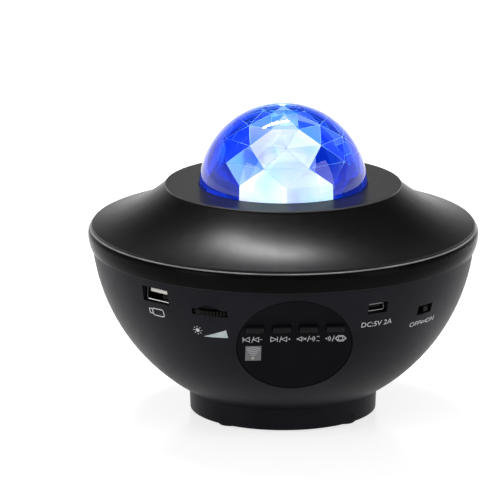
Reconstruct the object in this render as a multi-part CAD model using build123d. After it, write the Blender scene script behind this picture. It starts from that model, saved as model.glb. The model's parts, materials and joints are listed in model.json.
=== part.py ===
"""Star night light projector: a bowl on a round foot, under a flared cover that carries a crystal dome.

Millimetres and degrees. The origin is on the floor under the middle of the foot, +Z is up, and
the control panel faces -Y. A feature's azimuth is counted from the front, positive to +X.
"""
import math
import os

from build123d import *

# ---------------------------------------------------------------- housing
WALL = 2.2                  # moulded wall of the shells
FIT = 0.3                   # gap round a fixed piece in its pocket
SCREW_FIT = 0.05            # radial gap of a screw in its hole
HOLE_SPARE = 0.4            # a blind hole is this much deeper than its screw
SKIN = 0.8                  # least wall left over a blind hole
FOOT_R = 40.5               # foot, where the bowl stands on it
FOOT_TAPER = 0.4            # how much narrower the foot is at its lower edge
FOOT_TOP_Z = 10.1
FOOT_PLATE_T = 2.0
BOWL_R = 82.5               # the bowl is part of a ball of this radius
BAND_DROP = 9.6             # from the middle of that ball down to the band
BAND_H = 8.8                # rim band, the widest part of the housing
BAND_PROUD = 1.4            # how far the band's widest line stands out of the ball
BAND_STEP = 0.6             # ledge of the band over the bowl
BAND_BULGE = 0.72           # height of the widest line, as a share of the band's height
BAND_CREASE = 0.7           # how far the band turns in again at its top
BAND_SOFT = 0.6             # rounding of the band's upper edge
TONGUE_T = 1.1              # tongue of the bowl inside the band
TONGUE_H = 3.0
COVER_H = 18.7              # flared cover, from the band up to its flat collar
COVER_EDGE_H = 1.0          # upright edge at the cover's outside
COVER_EDGE_IN = 0.4         # that edge stands back from the band's rounding
COVER_SAG = 2.3             # how hollow the flare is
COVER_SEAT = 5.0            # width of the flat underside of the cover's edge
SKIRT_T = 1.7               # locating skirt of the cover inside the band
SKIRT_H = 5.0
COLLAR_R = 50.8             # flat collar round the dome
COLLAR_LIP = 0.8            # the collar's raised edge
COLLAR_SOFT = 0.4           # rounding of that edge

# ---------------------------------------------------------------- crystal dome
DOME_R = 36.2               # outside, a smooth ball
DOME_SINK = 1.8             # the ball's middle lies this far under the collar's face
DOME_WALL = 2.8             # at the corners of the facets
DOME_GAP = 0.2              # round the dome in the collar's hole
FLANGE_W = 3.2              # flange under the collar
FLANGE_T = 2.0
FACETS = 10                 # facet corners in each ring
FACET_LATITUDES = (12.5, 26, 42, 58, 75)
FACET_TURN = 16.7           # of the lowest ring, from +X
CLAMP_T = 2.2
CLAMP_SCREW_OUT = 3.6       # from the flange to the middle of the clamp's screws
CLAMP_EDGE = 3.0            # clamp ring outside its screws' circle
CLAMP_SCREWS = 4
CLAMP_BOSS_R = 3.1

# ---------------------------------------------------------------- base
FEET = 4
FOOT_PAD_R = 5.0
FOOT_PAD_T = 1.6
FOOT_PAD_RECESS = 0.6
PILLAR_CIRCLE = 34.5        # circle of the pads, pillars and base screws
PILLAR_R = 3.5
TIE_SHARE = 0.45            # where the bowl's pillars meet the deck's, as a share of the height
FLOOR_HOLE_R = 28.0         # opening over the speaker
SLOTS = 9
SLOT_W = 2.0
SLOT_PITCH = 4.4
SLOT_REACH = 21.5           # circle that the ends of the slots lie on
SPEAKER_R = 26.5
SPEAKER_STUD_R = 2.1
SPEAKER_FLANGE_T = 1.2
SPEAKER_FLANGE_W = 3.5
SPEAKER_DEPTH = 9.0         # basket, from the flange to the magnet
CONE_T = 0.7
CONE_CAP_R = 7.0
SURROUND_W = 3.2
MAGNET_R = 14.0
MAGNET_H = 6.0
MAGNET_BEVEL = 0.6
BOARD_T = 1.6
MAIN_BOARD_R = 38.5
MAIN_BOARD_RISE = 16.9      # over the foot's upper edge
BOARD_BLOCKS = (            # chips and sockets on the main board: x, y, width, depth, height
    (0, 0, 10, 10, 1.2),
    (-14, 8, 6, 8, 1.6),
    (-6, 24, 7, 5, 5),
    (4, 24, 7, 5, 5),
)
CAPACITOR_R = 3.2
CAPACITOR_H = 8.0
CAPACITORS = ((14, -8), (14, 0), (14, 8))

# ---------------------------------------------------------------- screws
SCREW_R = 1.2
HEAD_R = 2.5
HEAD_H = 1.5
TIE_R = 1.5
TIE_HEAD_R = 2.7
TIE_HEAD_H = 2.0
TIE_BITE = 10.0             # thread in the deck's pillar
SMALL_R = 0.95
SMALL_HEAD_R = 1.9
SMALL_HEAD_H = 1.2
RECESS_T = 0.7              # width of the cross recess
BASE_HEAD_SUNK = 0.5
BASE_BITE = 6.0
BOARD_BITE = 5.0            # main board's screws in their pillars
CLAMP_BITE = 2.6
DECK_BITE = 7.0
BUTTON_BOARD_BITE = 2.4
LED_BOARD_BITE = 4.0

# ---------------------------------------------------------------- control panel
PANEL_R = 24.2
PANEL_T = 2.0
PANEL_TILT = 26.2           # the panel faces this far below the horizontal
PANEL_BEVEL = 0.25
PANEL_SEAT_W = 2.4          # seat ring outside the panel
PANEL_SEAT_T = 2.2
BUTTONS = ("volume_down", "volume_up", "mute", "mode")
BUTTON_PITCH = 11.25
BUTTON_ROW = 9.7            # over the middle of the panel
BUTTON_W = 7.9              # cut-out
BUTTON_H = 3.3
BUTTON_GAP = 0.25
BUTTON_PROUD = 1.8
BUTTON_SOFT = 0.5           # rounding of the cap's face
BUTTON_FLANGE = 0.7         # flange behind the panel, beyond the cap
BUTTON_FLANGE_T = 1.0
BUTTON_FLOAT = 0.1          # from the flange to the panel at rest
BUTTON_TRAVEL = 0.5
BUTTON_STOP = 0.15          # left over the tact switch at full travel
TACT_W = 6.0
TACT_H = 3.5
PLUNGER_R = 1.75
PLUNGER_H = 0.8
WINDOW_X = -17.2            # infra-red window, from the middle of the panel
WINDOW_Y = -4.3
WINDOW_W = 6.7
WINDOW_H = 8.2
RECEIVER_W = 5.0
RECEIVER_EYE_R = 2.0
BUTTON_BOARD_W = 40.4
BUTTON_BOARD_TOP = 18.0
BUTTON_BOARD_LOW = -17.5
BUTTON_BOSS_X = 17.2
BUTTON_BOSS_TOP = 15.2
BUTTON_BOSS_LOW = -14.6
BUTTON_BOSS_R = 2.3

# ---------------------------------------------------------------- sockets, dimmer and switch
USB_AZIMUTH = -45.7
USB_DROP = 16.1             # under the middle of the bowl's ball
USB_W = 13.1
USB_H = 5.7
USB_DEPTH = 14.0
USB_METAL = 0.35
USB_CUT_W = 14.4
USB_CUT_H = 6.8
USB_SUNK = 2.4              # mouth under the outside of the bowl
USB_TONGUE_T = 1.4
USB_TONGUE_W = 10.4
USB_TONGUE_GAP = 0.6        # over the tongue
TONGUE_SET = 0.8            # tip of a socket's tongue behind the mouth
USB_BLOCK = 4.0             # solid back of the socket
DIMMER_AZIMUTH = -26.6
DIMMER_DROP = 20.0
DIMMER_R = 11.0
DIMMER_T = 2.0
DIMMER_PROUD = 1.3
DIMMER_SLOT_W = 16.2
DIMMER_SLOT_GAP = 0.4
DIMMER_SLOT_SIDE = 0.5      # round the wheel's edge
DIMMER_RIBS = 48
DIMMER_RIB_DEPTH = 0.45
DIMMER_HUB_R = 3.6
DIMMER_HUB_H = 0.6
DIMMER_SHAFT_R = 1.5
DIMMER_FLOAT = 0.3
POT_R = 5.0
POT_HEAD_W = 1.1            # head of the shaft, under the wheel
POT_HEAD_T = 1.0
SCOOP_R = 7.6               # arched notch over the middle of the dimmer's slot
SCOOP_RISE = 2.0
SCOOP_DEPTH = 1.4
INLET_AZIMUTH = 25.9
INLET_DROP = 18.8
INLET_W = 7.6
INLET_H = 3.0
INLET_DEPTH = 6.0
INLET_METAL = 0.3
INLET_TONGUE_W = 4.8
INLET_TONGUE_T = 0.7
INLET_TONGUE_UP = 0.3       # over the middle of the mouth
INLET_BLOCK = 1.2
INLET_CUT_W = 9.3
INLET_CUT_H = 4.9
INLET_SUNK = 2.1
SWITCH_AZIMUTH = 45.5
SWITCH_W = 8.6
SWITCH_H = 4.6
SWITCH_DEPTH = 3.8
SWITCH_CUT_W = 9.2
SWITCH_CUT_H = 4.2
SWITCH_SUNK = 4.4
KNOB_W = 2.8
KNOB_H = 2.4
KNOB_TRAVEL = 2.0
KNOB_GAP = 0.15
KNOB_SOFT = 0.3             # rounding of the knob's tip
KNOB_SUNK = 0.5             # tip of the knob under the outside of the bowl
KNOB_ROOT = 2.0             # length of the knob inside the switch
PORT_BOARD_GAP = 1.4        # from the port boards to the wall of the bowl
PORT_BOARD_W = 20.0
LEFT_BOARD_AZIMUTHS = (-63, -17)
RIGHT_BOARD_AZIMUTHS = (20, 63)
LEFT_BOSS_AZIMUTHS = (-57.5, -38.2)
RIGHT_BOSS_AZIMUTHS = (36.0, 57.0)
PORT_BOSS_R = 2.2
PORT_BOSS_IN = 6.4          # from the wall of the bowl to a boss's middle
PORT_BITE = 5.0             # port boards' screws in their bosses

# ---------------------------------------------------------------- light deck and drive
DECK_DROP = 13.6            # from the collar's face down to the deck's upper face
DECK_T = 2.0
DECK_EDGE = 4.0             # deck outside the circle of its posts
DECK_POSTS = 3
DECK_POST_IN = 0.4          # circle of the posts inside the collar's edge
DECK_POST_R = 3.2
HUB_BORE_R = 20.0           # tubular hub that the lens carrier turns on
HUB_R = 24.0
HUB_H = 4.6
THRUST_W = 3.0
THRUST_H = 0.25
LIFT = 0.05                 # carrier over its thrust land
RUNNING_FIT = 0.05
MODULE = 1.0
CARRIER_TEETH = 60
PINION_TEETH = 12
PRESSURE_ANGLE = 25.0
BACKLASH = 0.16             # taken off the thickness of each tooth
ADDENDUM = 0.95
DEDENDUM = 1.25
GEAR_T = 3.0
CARRIER_WALL = 1.6
CARRIER_RIM = 1.6           # wall outside the lens
CARRIER_LEDGE = 2.4         # ledge that the lens lies on
CARRIER_LEDGE_T = 1.0
GRATING_T = 0.4
RIPPLE_T = 1.2
RIPPLE_BALL_R = 18.2        # the ripple lens's faceted cap
RIPPLE_LIFT = 10.5          # middle of that ball over the lens's rim
RIPPLE_FACETS = 9
RIPPLE_LATITUDES = (0, 27, 52, 74)
MOTOR_AZIMUTH = 90.0        # the motor is on the right
MOTOR_R = 10.0
MOTOR_H = 13.0
MOTOR_EAR_T = 1.2
MOTOR_EAR_X = 13.5
MOTOR_EAR_R = 3.2
MOTOR_BUSH_R = 3.0
MOTOR_BUSH_H = 1.5
SHAFT_R = 1.5
SHAFT_IN_MOTOR = 6.0
SHAFT_END_GAP = 0.3
SHAFT_TIP = 0.6             # shaft over the pinion
LED_BOARD_R = 25.5
LED_W = 3.6
LED_T = 1.0
LED_LENS_R = 1.5
LED_CIRCLE = 4.2
LED_SCREWS = 3
LIGHT_Y = 6.5               # LED group, back from the axis
REFLECTOR_R = 11.5
REFLECTOR_FOOT_R = 8.3
REFLECTOR_H = 4.4
REFLECTOR_WALL = 0.6
CONDENSER_EDGE = 0.6
CONDENSER_RISE = 1.4        # crown of the condenser lens over its edge
LASER_Y = -12.5
LASER_R = 3.6
LASER_H = 6.5
LASER_RING_R = 2.5
LASER_RING_H = 1.2
LASER_BORE_R = 1.3
HEAT_SINK_R = 21.5
HEAT_SINK_BASE_T = 2.0
FINS = 9
FIN_T = 1.4
FIN_H = 11.0

# ---------------------------------------------------------------- worked out from the sizes above
BOWL_IN_R = BOWL_R - WALL
BOWL_Z = FOOT_TOP_Z + math.sqrt(BOWL_R ** 2 - FOOT_R ** 2)
FOOT_Z = FOOT_PAD_T - FOOT_PAD_RECESS
FLOOR_Z = FOOT_TOP_Z + WALL
BAND_Z = BOWL_Z - BAND_DROP
COVER_Z = BAND_Z + BAND_H
COLLAR_Z = COVER_Z + COVER_H
COLLAR_UNDER_Z = COLLAR_Z - WALL
FLANGE_Z = COLLAR_UNDER_Z - FLANGE_T
CLAMP_Z = FLANGE_Z - CLAMP_T
MAIN_BOARD_Z = FOOT_TOP_Z + MAIN_BOARD_RISE
DECK_TOP_Z = COLLAR_Z - DECK_DROP
DECK_Z = DECK_TOP_Z - DECK_T
TIE_MEET_Z = FLOOR_Z + (DECK_Z - FLOOR_Z) * TIE_SHARE
CLAMP_SCREW_R = DOME_R + FLANGE_W + CLAMP_SCREW_OUT
CLAMP_R = CLAMP_SCREW_R + CLAMP_EDGE
DECK_POST_CIRCLE = COLLAR_R - DECK_POST_IN
DECK_R = DECK_POST_CIRCLE + DECK_EDGE
BAND_R = BOWL_R + BAND_PROUD
CREASE_R = BAND_R - BAND_CREASE
COVER_R = CREASE_R - BAND_SOFT - COVER_EDGE_IN
PANEL_OUT = math.sqrt(BOWL_R ** 2 - (PANEL_R + FIT) ** 2)
USB_Z = BOWL_Z - USB_DROP
LEFT_BOARD_Z = USB_Z + USB_H / 2
DIMMER_Z = BOWL_Z - DIMMER_DROP
INLET_Z = BOWL_Z - INLET_DROP
RIGHT_BOARD_Z = INLET_Z - INLET_H / 2 - BOARD_T
SWITCH_Z = RIGHT_BOARD_Z - SWITCH_H / 2
LED_BOARD_Z = DECK_Z - BOARD_T
PITCH_R = MODULE * CARRIER_TEETH / 2
PINION_PITCH_R = MODULE * PINION_TEETH / 2
DRIVE_CENTRES = PITCH_R + PINION_PITCH_R
CARRIER_Z = DECK_TOP_Z + THRUST_H + LIFT
CARRIER_LEDGE_Z = DECK_TOP_Z + HUB_H + FIT
LENS_Z = CARRIER_LEDGE_Z + CARRIER_LEDGE_T
LENS_R = HUB_R + RUNNING_FIT + CARRIER_WALL / 2

UP = (Align.CENTER, Align.CENTER, Align.MIN)
DOWN = (Align.CENTER, Align.CENTER, Align.MAX)


# ---------------------------------------------------------------- helpers
def bowl_radius(height, ball=BOWL_R):
    """Radius of the bowl's ball at a height."""
    return math.sqrt(ball ** 2 - (height - BOWL_Z) ** 2)


def drum(radius, bottom, top, x=0, y=0):
    """Upright cylinder between two heights."""
    return Pos(x, y, bottom) * Cylinder(radius, top - bottom, align=UP)


def tube(outer, inner, bottom, top):
    """Upright ring between two heights, about the main axis."""
    return drum(outer, bottom, top) - drum(inner, bottom, top)


def turned(*lines):
    """Solid turned about the main axis, from lines that close an outline of (radius, height)."""
    return revolve(Plane.XZ * make_face(Curve() + list(lines)), Axis.Z)


def on_circle(count, radius, start=0.0):
    """Points spaced evenly on a circle, the first at an angle from +X."""
    angles = [math.radians(start + 360 * step / count) for step in range(count)]
    return [(radius * math.cos(angle), radius * math.sin(angle)) for angle in angles]


def at_azimuth(azimuth, radius):
    """Plan position at an azimuth counted from the front."""
    angle = math.radians(azimuth)
    return radius * math.sin(angle), -radius * math.cos(angle)


def port_plane(azimuth, height, radius):
    """Upright plane that faces outwards at an azimuth, its x along the wall and its y upwards."""
    x, y = at_azimuth(azimuth, radius)
    outward = at_azimuth(azimuth, 1)
    along = at_azimuth(azimuth + 90, 1)
    return Plane(origin=(x, y, height), x_dir=(*along, 0), z_dir=(*outward, 0))


def panel_plane(outward=0.0):
    """Face of the control panel, or a plane that far in front of it."""
    tilt = math.radians(PANEL_TILT)
    normal = Vector(0, -math.cos(tilt), -math.sin(tilt))
    origin = Vector(0, 0, BOWL_Z) + normal * (PANEL_OUT + outward)
    return Plane(origin=origin, x_dir=(1, 0, 0), z_dir=normal)


def joined(pieces):
    """Separate solids kept together as one node."""
    return Compound(children=list(pieces))


def screw(length, shank=SCREW_R, head=HEAD_R, head_h=HEAD_H):
    """Screw with its shank upwards, its head under height 0 and a cross recess in the head."""
    body = Cylinder(shank, length, align=UP) + Cylinder(head, head_h, align=DOWN)
    for turn in (0, 90):
        slot = Box(head * 1.2, RECESS_T, head_h * 0.6, align=UP)
        body -= Pos(0, 0, -head_h) * Rot(0, 0, turn) * slot
    return body


def screws_up(points, height, length, **sizes):
    """Screws driven upwards, with their heads under a height."""
    return joined(Pos(x, y, height) * screw(length, **sizes) for x, y in points)


def screws_down(points, height, length, **sizes):
    """Screws driven downwards, with their heads on a height."""
    turn = Rot(180, 0, 0)
    return joined(Pos(x, y, height) * turn * screw(length, **sizes) for x, y in points)


def holes(points, radius, bottom, top):
    """Upright holes through a stretch of height."""
    return [drum(radius, bottom, top, x, y) for x, y in points]


def pillar_points():
    return on_circle(FEET, PILLAR_CIRCLE, 45)


def base_screw_points():
    return on_circle(FEET, PILLAR_CIRCLE, 0)


def deck_post_points():
    return on_circle(DECK_POSTS, DECK_POST_CIRCLE, 30)


def clamp_screw_points():
    return on_circle(CLAMP_SCREWS, CLAMP_SCREW_R, 45)


def port_boss_points(azimuths, board_z):
    """Places of the bosses that carry a port board, a step in from the wall of the bowl."""
    radius = bowl_radius(board_z, BOWL_IN_R) - PORT_BOSS_IN
    return [at_azimuth(azimuth, radius) for azimuth in azimuths]


def button_x(index):
    return (index - (len(BUTTONS) - 1) / 2) * BUTTON_PITCH


def board_depth():
    """From the panel's face back to the front of the button board."""
    cap_back = PANEL_T + BUTTON_FLOAT + BUTTON_FLANGE_T
    return cap_back + BUTTON_TRAVEL + BUTTON_STOP + PLUNGER_H + TACT_H


def button_board_bosses():
    return [(side * BUTTON_BOSS_X, y) for side in (-1, 1) for y in (BUTTON_BOSS_LOW, BUTTON_BOSS_TOP)]


# ---------------------------------------------------------------- housing
def bowl_shell():
    """Ball-shaped wall with a flat floor."""
    outer_mid = (FOOT_TOP_Z + BAND_Z) / 2
    inner_mid = (FLOOR_Z + BAND_Z) / 2
    foot = (FOOT_R, FOOT_TOP_Z)
    rim = (bowl_radius(BAND_Z), BAND_Z)
    rim_in = (bowl_radius(BAND_Z, BOWL_IN_R), BAND_Z)
    floor = (bowl_radius(FLOOR_Z, BOWL_IN_R), FLOOR_Z)
    return turned(
        ThreePointArc(foot, (bowl_radius(outer_mid), outer_mid), rim),
        Line(rim, rim_in),
        ThreePointArc(rim_in, (bowl_radius(inner_mid, BOWL_IN_R), inner_mid), floor),
        Polyline(floor, (FLOOR_HOLE_R, FLOOR_Z), (FLOOR_HOLE_R, FOOT_TOP_Z), foot),
    )


def panel_seat():
    """Disc behind the panel, with four bosses for the button board."""
    seat = Cylinder(PANEL_R + FIT + PANEL_SEAT_W, PANEL_SEAT_T, align=DOWN)
    boss_h = board_depth() - PANEL_T
    for x, y in button_board_bosses():
        seat += Pos(x, y) * Cylinder(BUTTON_BOSS_R, boss_h, align=DOWN)
        seat -= Pos(x, y, -boss_h) * Cylinder(SCREW_R + SCREW_FIT, BUTTON_BOARD_BITE + HOLE_SPARE, align=UP)
    return panel_plane(-PANEL_T) * seat


def seat_window():
    """Opening behind the panel for what sits on the button board."""
    width = 2 * (button_x(len(BUTTONS) - 1) + BUTTON_W / 2 + BUTTON_FLANGE + FIT)
    top = BUTTON_ROW + BUTTON_H / 2 + BUTTON_FLANGE + FIT
    low = WINDOW_Y - WINDOW_H / 2 - FIT
    opening = Box(width, top - low, 2 * PANEL_SEAT_T, align=DOWN)
    return panel_plane(-PANEL_T) * Pos(0, (top + low) / 2) * opening


def port_bosses(azimuths, board_z):
    """Upright bosses that run down into the wall, with a blind hole each."""
    bosses = []
    for x, y in port_boss_points(azimuths, board_z):
        reach = math.hypot(x, y) - PORT_BOSS_R
        low = BOWL_Z - math.sqrt(BOWL_IN_R ** 2 - reach ** 2)
        boss = drum(PORT_BOSS_R, low - WALL / 4, board_z, x, y)
        boss &= Pos(0, 0, BOWL_Z) * Sphere(BOWL_R - WALL / 2)
        bosses.append(boss - drum(SCREW_R + SCREW_FIT, board_z - PORT_BITE - HOLE_SPARE, board_z, x, y))
    return bosses


def wall_cuts():
    """Openings in the wall for the panel, the sockets, the dimmer and the switch."""
    pocket = panel_plane(-PANEL_T) * Cylinder(PANEL_R + FIT, PANEL_T * 4, align=UP)
    usb = port_plane(USB_AZIMUTH, USB_Z, BOWL_R) * Box(USB_CUT_W, USB_CUT_H, USB_DEPTH)
    inlet = port_plane(INLET_AZIMUTH, INLET_Z, BOWL_R) * Box(INLET_CUT_W, INLET_CUT_H, INLET_DEPTH * 3)
    switch = port_plane(SWITCH_AZIMUTH, SWITCH_Z, BOWL_R) * Box(SWITCH_CUT_W, SWITCH_CUT_H, WALL * 8)
    x, y = dimmer_centre()
    slot_half = DIMMER_T / 2 + DIMMER_SLOT_GAP
    slot = drum(DIMMER_R + DIMMER_SLOT_SIDE, DIMMER_Z - slot_half, DIMMER_Z + slot_half, x, y)
    mouth = port_plane(DIMMER_AZIMUTH, DIMMER_Z, bowl_radius(DIMMER_Z))
    slot += mouth * Box(DIMMER_SLOT_W, 2 * slot_half, 4 * WALL)
    return [pocket, seat_window(), usb, inlet, switch, slot, thumb_scoop()]


def thumb_scoop():
    """Arched notch in the outside of the wall, over the middle of the dimmer's slot."""
    slot_top = DIMMER_Z + DIMMER_T / 2 + DIMMER_SLOT_GAP
    arch_top = slot_top + SCOOP_RISE
    place = port_plane(DIMMER_AZIMUTH, arch_top - SCOOP_R, bowl_radius(slot_top))
    return place * Cylinder(SCOOP_R, 2 * SCOOP_DEPTH) & drum(BAND_R, slot_top - FIT, arch_top)


def make_lower_bowl():
    bowl = bowl_shell() + panel_seat()
    bowl += port_bosses(LEFT_BOSS_AZIMUTHS, LEFT_BOARD_Z)
    bowl += port_bosses(RIGHT_BOSS_AZIMUTHS, RIGHT_BOARD_Z)
    bowl &= drum(BAND_R, FOOT_TOP_Z, BAND_Z)
    for x, y in pillar_points():
        bowl += drum(PILLAR_R, FOOT_TOP_Z, TIE_MEET_Z, x, y)
        bowl -= drum(TIE_R + SCREW_FIT, FOOT_TOP_Z, TIE_MEET_Z, x, y)
        bowl -= drum(TIE_HEAD_R + SCREW_FIT, FOOT_TOP_Z, FOOT_TOP_Z + TIE_HEAD_H, x, y)
    for x, y in base_screw_points():
        bowl += drum(PILLAR_R, FOOT_TOP_Z, MAIN_BOARD_Z, x, y)
        bowl -= drum(SCREW_R + SCREW_FIT, FOOT_TOP_Z, MAIN_BOARD_Z, x, y)
    inner = bowl_radius(BAND_Z, BOWL_IN_R)
    bowl += tube(inner + TONGUE_T, inner, BAND_Z - WALL / 2, BAND_Z + TONGUE_H)
    for cut in wall_cuts():
        bowl -= cut
    return bowl


def soft_corner(radius, height, rounding):
    """Quarter arc that rounds the upper outer corner of a turned profile."""
    inward = rounding * (1 - math.sqrt(0.5))
    start = (radius, height - rounding)
    return ThreePointArc(start, (radius - inward, height - inward), (radius - rounding, height))


def make_rim_band():
    """Ring between the bowl and the cover, bulged outside and rebated over the bowl's tongue."""
    inner = bowl_radius(BAND_Z, BOWL_IN_R)
    low = (bowl_radius(BAND_Z) + BAND_STEP, BAND_Z)
    widest = (BAND_R, BAND_Z + BAND_H * BAND_BULGE)
    crease = (CREASE_R, COVER_Z - BAND_SOFT)
    return turned(
        ThreePointArc(low, (BAND_R - BAND_STEP / 2, BAND_Z + BAND_H * BAND_BULGE / 2), widest),
        ThreePointArc(widest, (BAND_R - BAND_CREASE / 4, (widest[1] + crease[1]) / 2), crease),
        soft_corner(CREASE_R, COVER_Z, BAND_SOFT),
        Polyline(
            (CREASE_R - BAND_SOFT, COVER_Z),
            (inner, COVER_Z),
            (inner, BAND_Z + TONGUE_H),
            (inner + TONGUE_T, BAND_Z + TONGUE_H),
            (inner + TONGUE_T, BAND_Z),
            low,
        ),
    )


def hollow_arc(start, end, sag):
    """Arc between two profile points that hangs below its chord by a sag."""
    run = end[0] - start[0]
    rise = end[1] - start[1]
    chord = math.hypot(run, rise)
    side = math.copysign(1, run)
    across = (start[0] + end[0]) / 2 + side * rise / chord * sag
    height = (start[1] + end[1]) / 2 - side * run / chord * sag
    return ThreePointArc(start, (across, height), end)


def cover_solid():
    """The cover as if it were filled, which also trims the posts under it."""
    edge = (COVER_R, COVER_Z + COVER_EDGE_H)
    shoulder = (COLLAR_R, COLLAR_Z - COLLAR_LIP)
    return turned(
        hollow_arc(edge, shoulder, COVER_SAG),
        Polyline(shoulder, (COLLAR_R, COLLAR_Z - COLLAR_SOFT)),
        soft_corner(COLLAR_R, COLLAR_Z, COLLAR_SOFT),
        Polyline((COLLAR_R - COLLAR_SOFT, COLLAR_Z), (0, COLLAR_Z), (0, COVER_Z), (COVER_R, COVER_Z), edge),
    )


def cover_hollow():
    """Space under the cover's wall."""
    foot = (COVER_R - COVER_SEAT, COVER_Z)
    shoulder = (COLLAR_R - WALL * 0.7, COLLAR_UNDER_Z)
    return turned(
        hollow_arc(foot, shoulder, COVER_SAG),
        Polyline(shoulder, (0, COLLAR_UNDER_Z), (0, COVER_Z), foot),
    )


def make_top_cover():
    filled = cover_solid()
    cover = filled - cover_hollow()
    posts = joined(drum(DECK_POST_R, DECK_TOP_Z, COLLAR_Z, x, y) for x, y in deck_post_points())
    bosses = joined(drum(CLAMP_BOSS_R, FLANGE_Z, COLLAR_Z, x, y) for x, y in clamp_screw_points())
    cover += (posts & filled) + (bosses & filled)
    skirt_r = bowl_radius(BAND_Z, BOWL_IN_R) - FIT
    cover += tube(skirt_r, skirt_r - SKIRT_T, COVER_Z - SKIRT_H, COVER_Z + WALL / 2)
    cover -= drum(DOME_R + DOME_GAP, COLLAR_UNDER_Z - FLANGE_T, COLLAR_Z)
    post_hole = DECK_BITE + HOLE_SPARE
    for hole in holes(deck_post_points(), SCREW_R + SCREW_FIT, DECK_TOP_Z, DECK_TOP_Z + post_hole):
        cover -= hole
    clamp_hole = CLAMP_BITE + HOLE_SPARE
    for hole in holes(clamp_screw_points(), SCREW_R + SCREW_FIT, FLANGE_Z, FLANGE_Z + clamp_hole):
        cover -= hole
    return cover


# ---------------------------------------------------------------- crystal dome
def flat_face(*corners):
    return Face(Wire.make_polygon([Vector(*corner) for corner in corners], close=True))


def facet_ring(radius, latitude, middle, count, start):
    """Corners on one latitude of a ball whose middle lies at a height; the last repeats the first."""
    flat = radius * math.cos(math.radians(latitude))
    height = middle + radius * math.sin(math.radians(latitude))
    angles = [math.radians(start) + 2 * math.pi * (index % count) / count for index in range(count + 2)]
    return [(flat * math.cos(angle), flat * math.sin(angle), height) for angle in angles]


def faceted_cap(radius, middle, low, latitudes, count, start=0):
    """Cap of a ball in triangles between staggered rings, over an upright many-sided wall."""
    rings = []
    for number, latitude in enumerate(latitudes):
        stagger = 180 / count * (number % 2)
        rings.append(facet_ring(radius, latitude, middle, count, start + stagger))
    apex = (0, 0, middle + radius)
    faces = [flat_face(*((x, y, low) for x, y, z in rings[0][:count]))]
    for index in range(count):
        a, b = rings[0][index : index + 2]
        faces.append(flat_face(a, b, (b[0], b[1], low), (a[0], a[1], low)))
        faces.append(flat_face(rings[-1][index], rings[-1][index + 1], apex))
        for number in range(len(rings) - 1):
            left, right = rings[number][index : index + 2]
            first = index + number % 2
            over, over_next = rings[number + 1][first : first + 2]
            faces.append(flat_face(left, right, over))
            faces.append(flat_face(over, right, over_next))
    return Solid(Shell(faces))


def make_crystal_dome():
    """Clear cap, smooth outside and faceted inside, with a flange that the clamp ring holds."""
    side = math.sqrt(DOME_R ** 2 - DOME_SINK ** 2)
    slant = DOME_R * math.sqrt(0.5)
    middle = COLLAR_Z - DOME_SINK
    top = (0, middle + DOME_R)
    outside = turned(
        ThreePointArc(top, (slant, middle + slant), (side, COLLAR_Z)),
        Polyline(
            (side, COLLAR_Z),
            (side, COLLAR_UNDER_Z),
            (DOME_R + FLANGE_W, COLLAR_UNDER_Z),
            (DOME_R + FLANGE_W, FLANGE_Z),
            (0, FLANGE_Z),
            top,
        ),
    )
    below = FLANGE_Z - FLANGE_T
    return outside - faceted_cap(DOME_R - DOME_WALL, middle, below, FACET_LATITUDES, FACETS, FACET_TURN)


def make_dome_clamp_ring():
    ring = tube(CLAMP_R, DOME_R - DOME_WALL, CLAMP_Z, FLANGE_Z)
    for hole in holes(clamp_screw_points(), SCREW_R + SCREW_FIT, CLAMP_Z, FLANGE_Z):
        ring -= hole
    return ring


# ---------------------------------------------------------------- base
def make_foot_base():
    """Round foot: tapered wall, plate with the speaker's slots, and pillars for the base screws."""
    wall = turned(
        Polyline(
            (FOOT_R - FOOT_TAPER, FOOT_Z),
            (FOOT_R, FOOT_TOP_Z),
            (FOOT_R - WALL, FOOT_TOP_Z),
            (FOOT_R - WALL - FOOT_TAPER, FOOT_Z),
            (FOOT_R - FOOT_TAPER, FOOT_Z),
        )
    )
    plate_top = FOOT_Z + FOOT_PLATE_T
    base = wall + drum(FOOT_R - FOOT_TAPER - WALL / 2, FOOT_Z, plate_top)
    base += [drum(PILLAR_R + 1, FOOT_Z, FOOT_TOP_Z, x, y) for x, y in base_screw_points()]
    for x, y in speaker_screw_points():
        base += drum(SPEAKER_STUD_R, plate_top, plate_top + SPEAKER_FLANGE_T, x, y)
    for x, y in pillar_points():
        base += drum(FOOT_PAD_R + 1, plate_top, plate_top + FOOT_PAD_RECESS, x, y)
        base -= drum(FOOT_PAD_R + SCREW_FIT, FOOT_Z, FOOT_PAD_T, x, y)
    for x, y in base_screw_points():
        base -= drum(SCREW_R + SCREW_FIT, FOOT_Z, FOOT_TOP_Z, x, y)
        base -= drum(HEAD_R + SCREW_FIT, FOOT_Z, base_head_z(), x, y)
    for x, y in speaker_screw_points():
        base -= drum(SCREW_R + SCREW_FIT, FOOT_Z + SKIN, FOOT_TOP_Z, x, y)
    for index in range(SLOTS):
        across = (index - (SLOTS - 1) / 2) * SLOT_PITCH
        length = 2 * math.sqrt(SLOT_REACH ** 2 - across ** 2)
        slot = extrude(SlotOverall(length, SLOT_W), FOOT_PLATE_T * 2, both=True)
        base -= Pos(0, across, FOOT_Z) * slot
    return base


def base_head_z():
    """Seat of the base screws' heads, sunk in the foot."""
    return FOOT_Z + HEAD_H + BASE_HEAD_SUNK


def speaker_screw_points():
    return on_circle(FEET, SPEAKER_R + SPEAKER_STUD_R + FIT, 22.5)


def make_rubber_feet():
    pads = []
    for x, y in pillar_points():
        pad = drum(FOOT_PAD_R, 0, FOOT_PAD_T, x, y)
        pads.append(chamfer(pad.edges().sort_by(Axis.Z)[0], FOOT_PAD_T / 4))
    return joined(pads)


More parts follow.
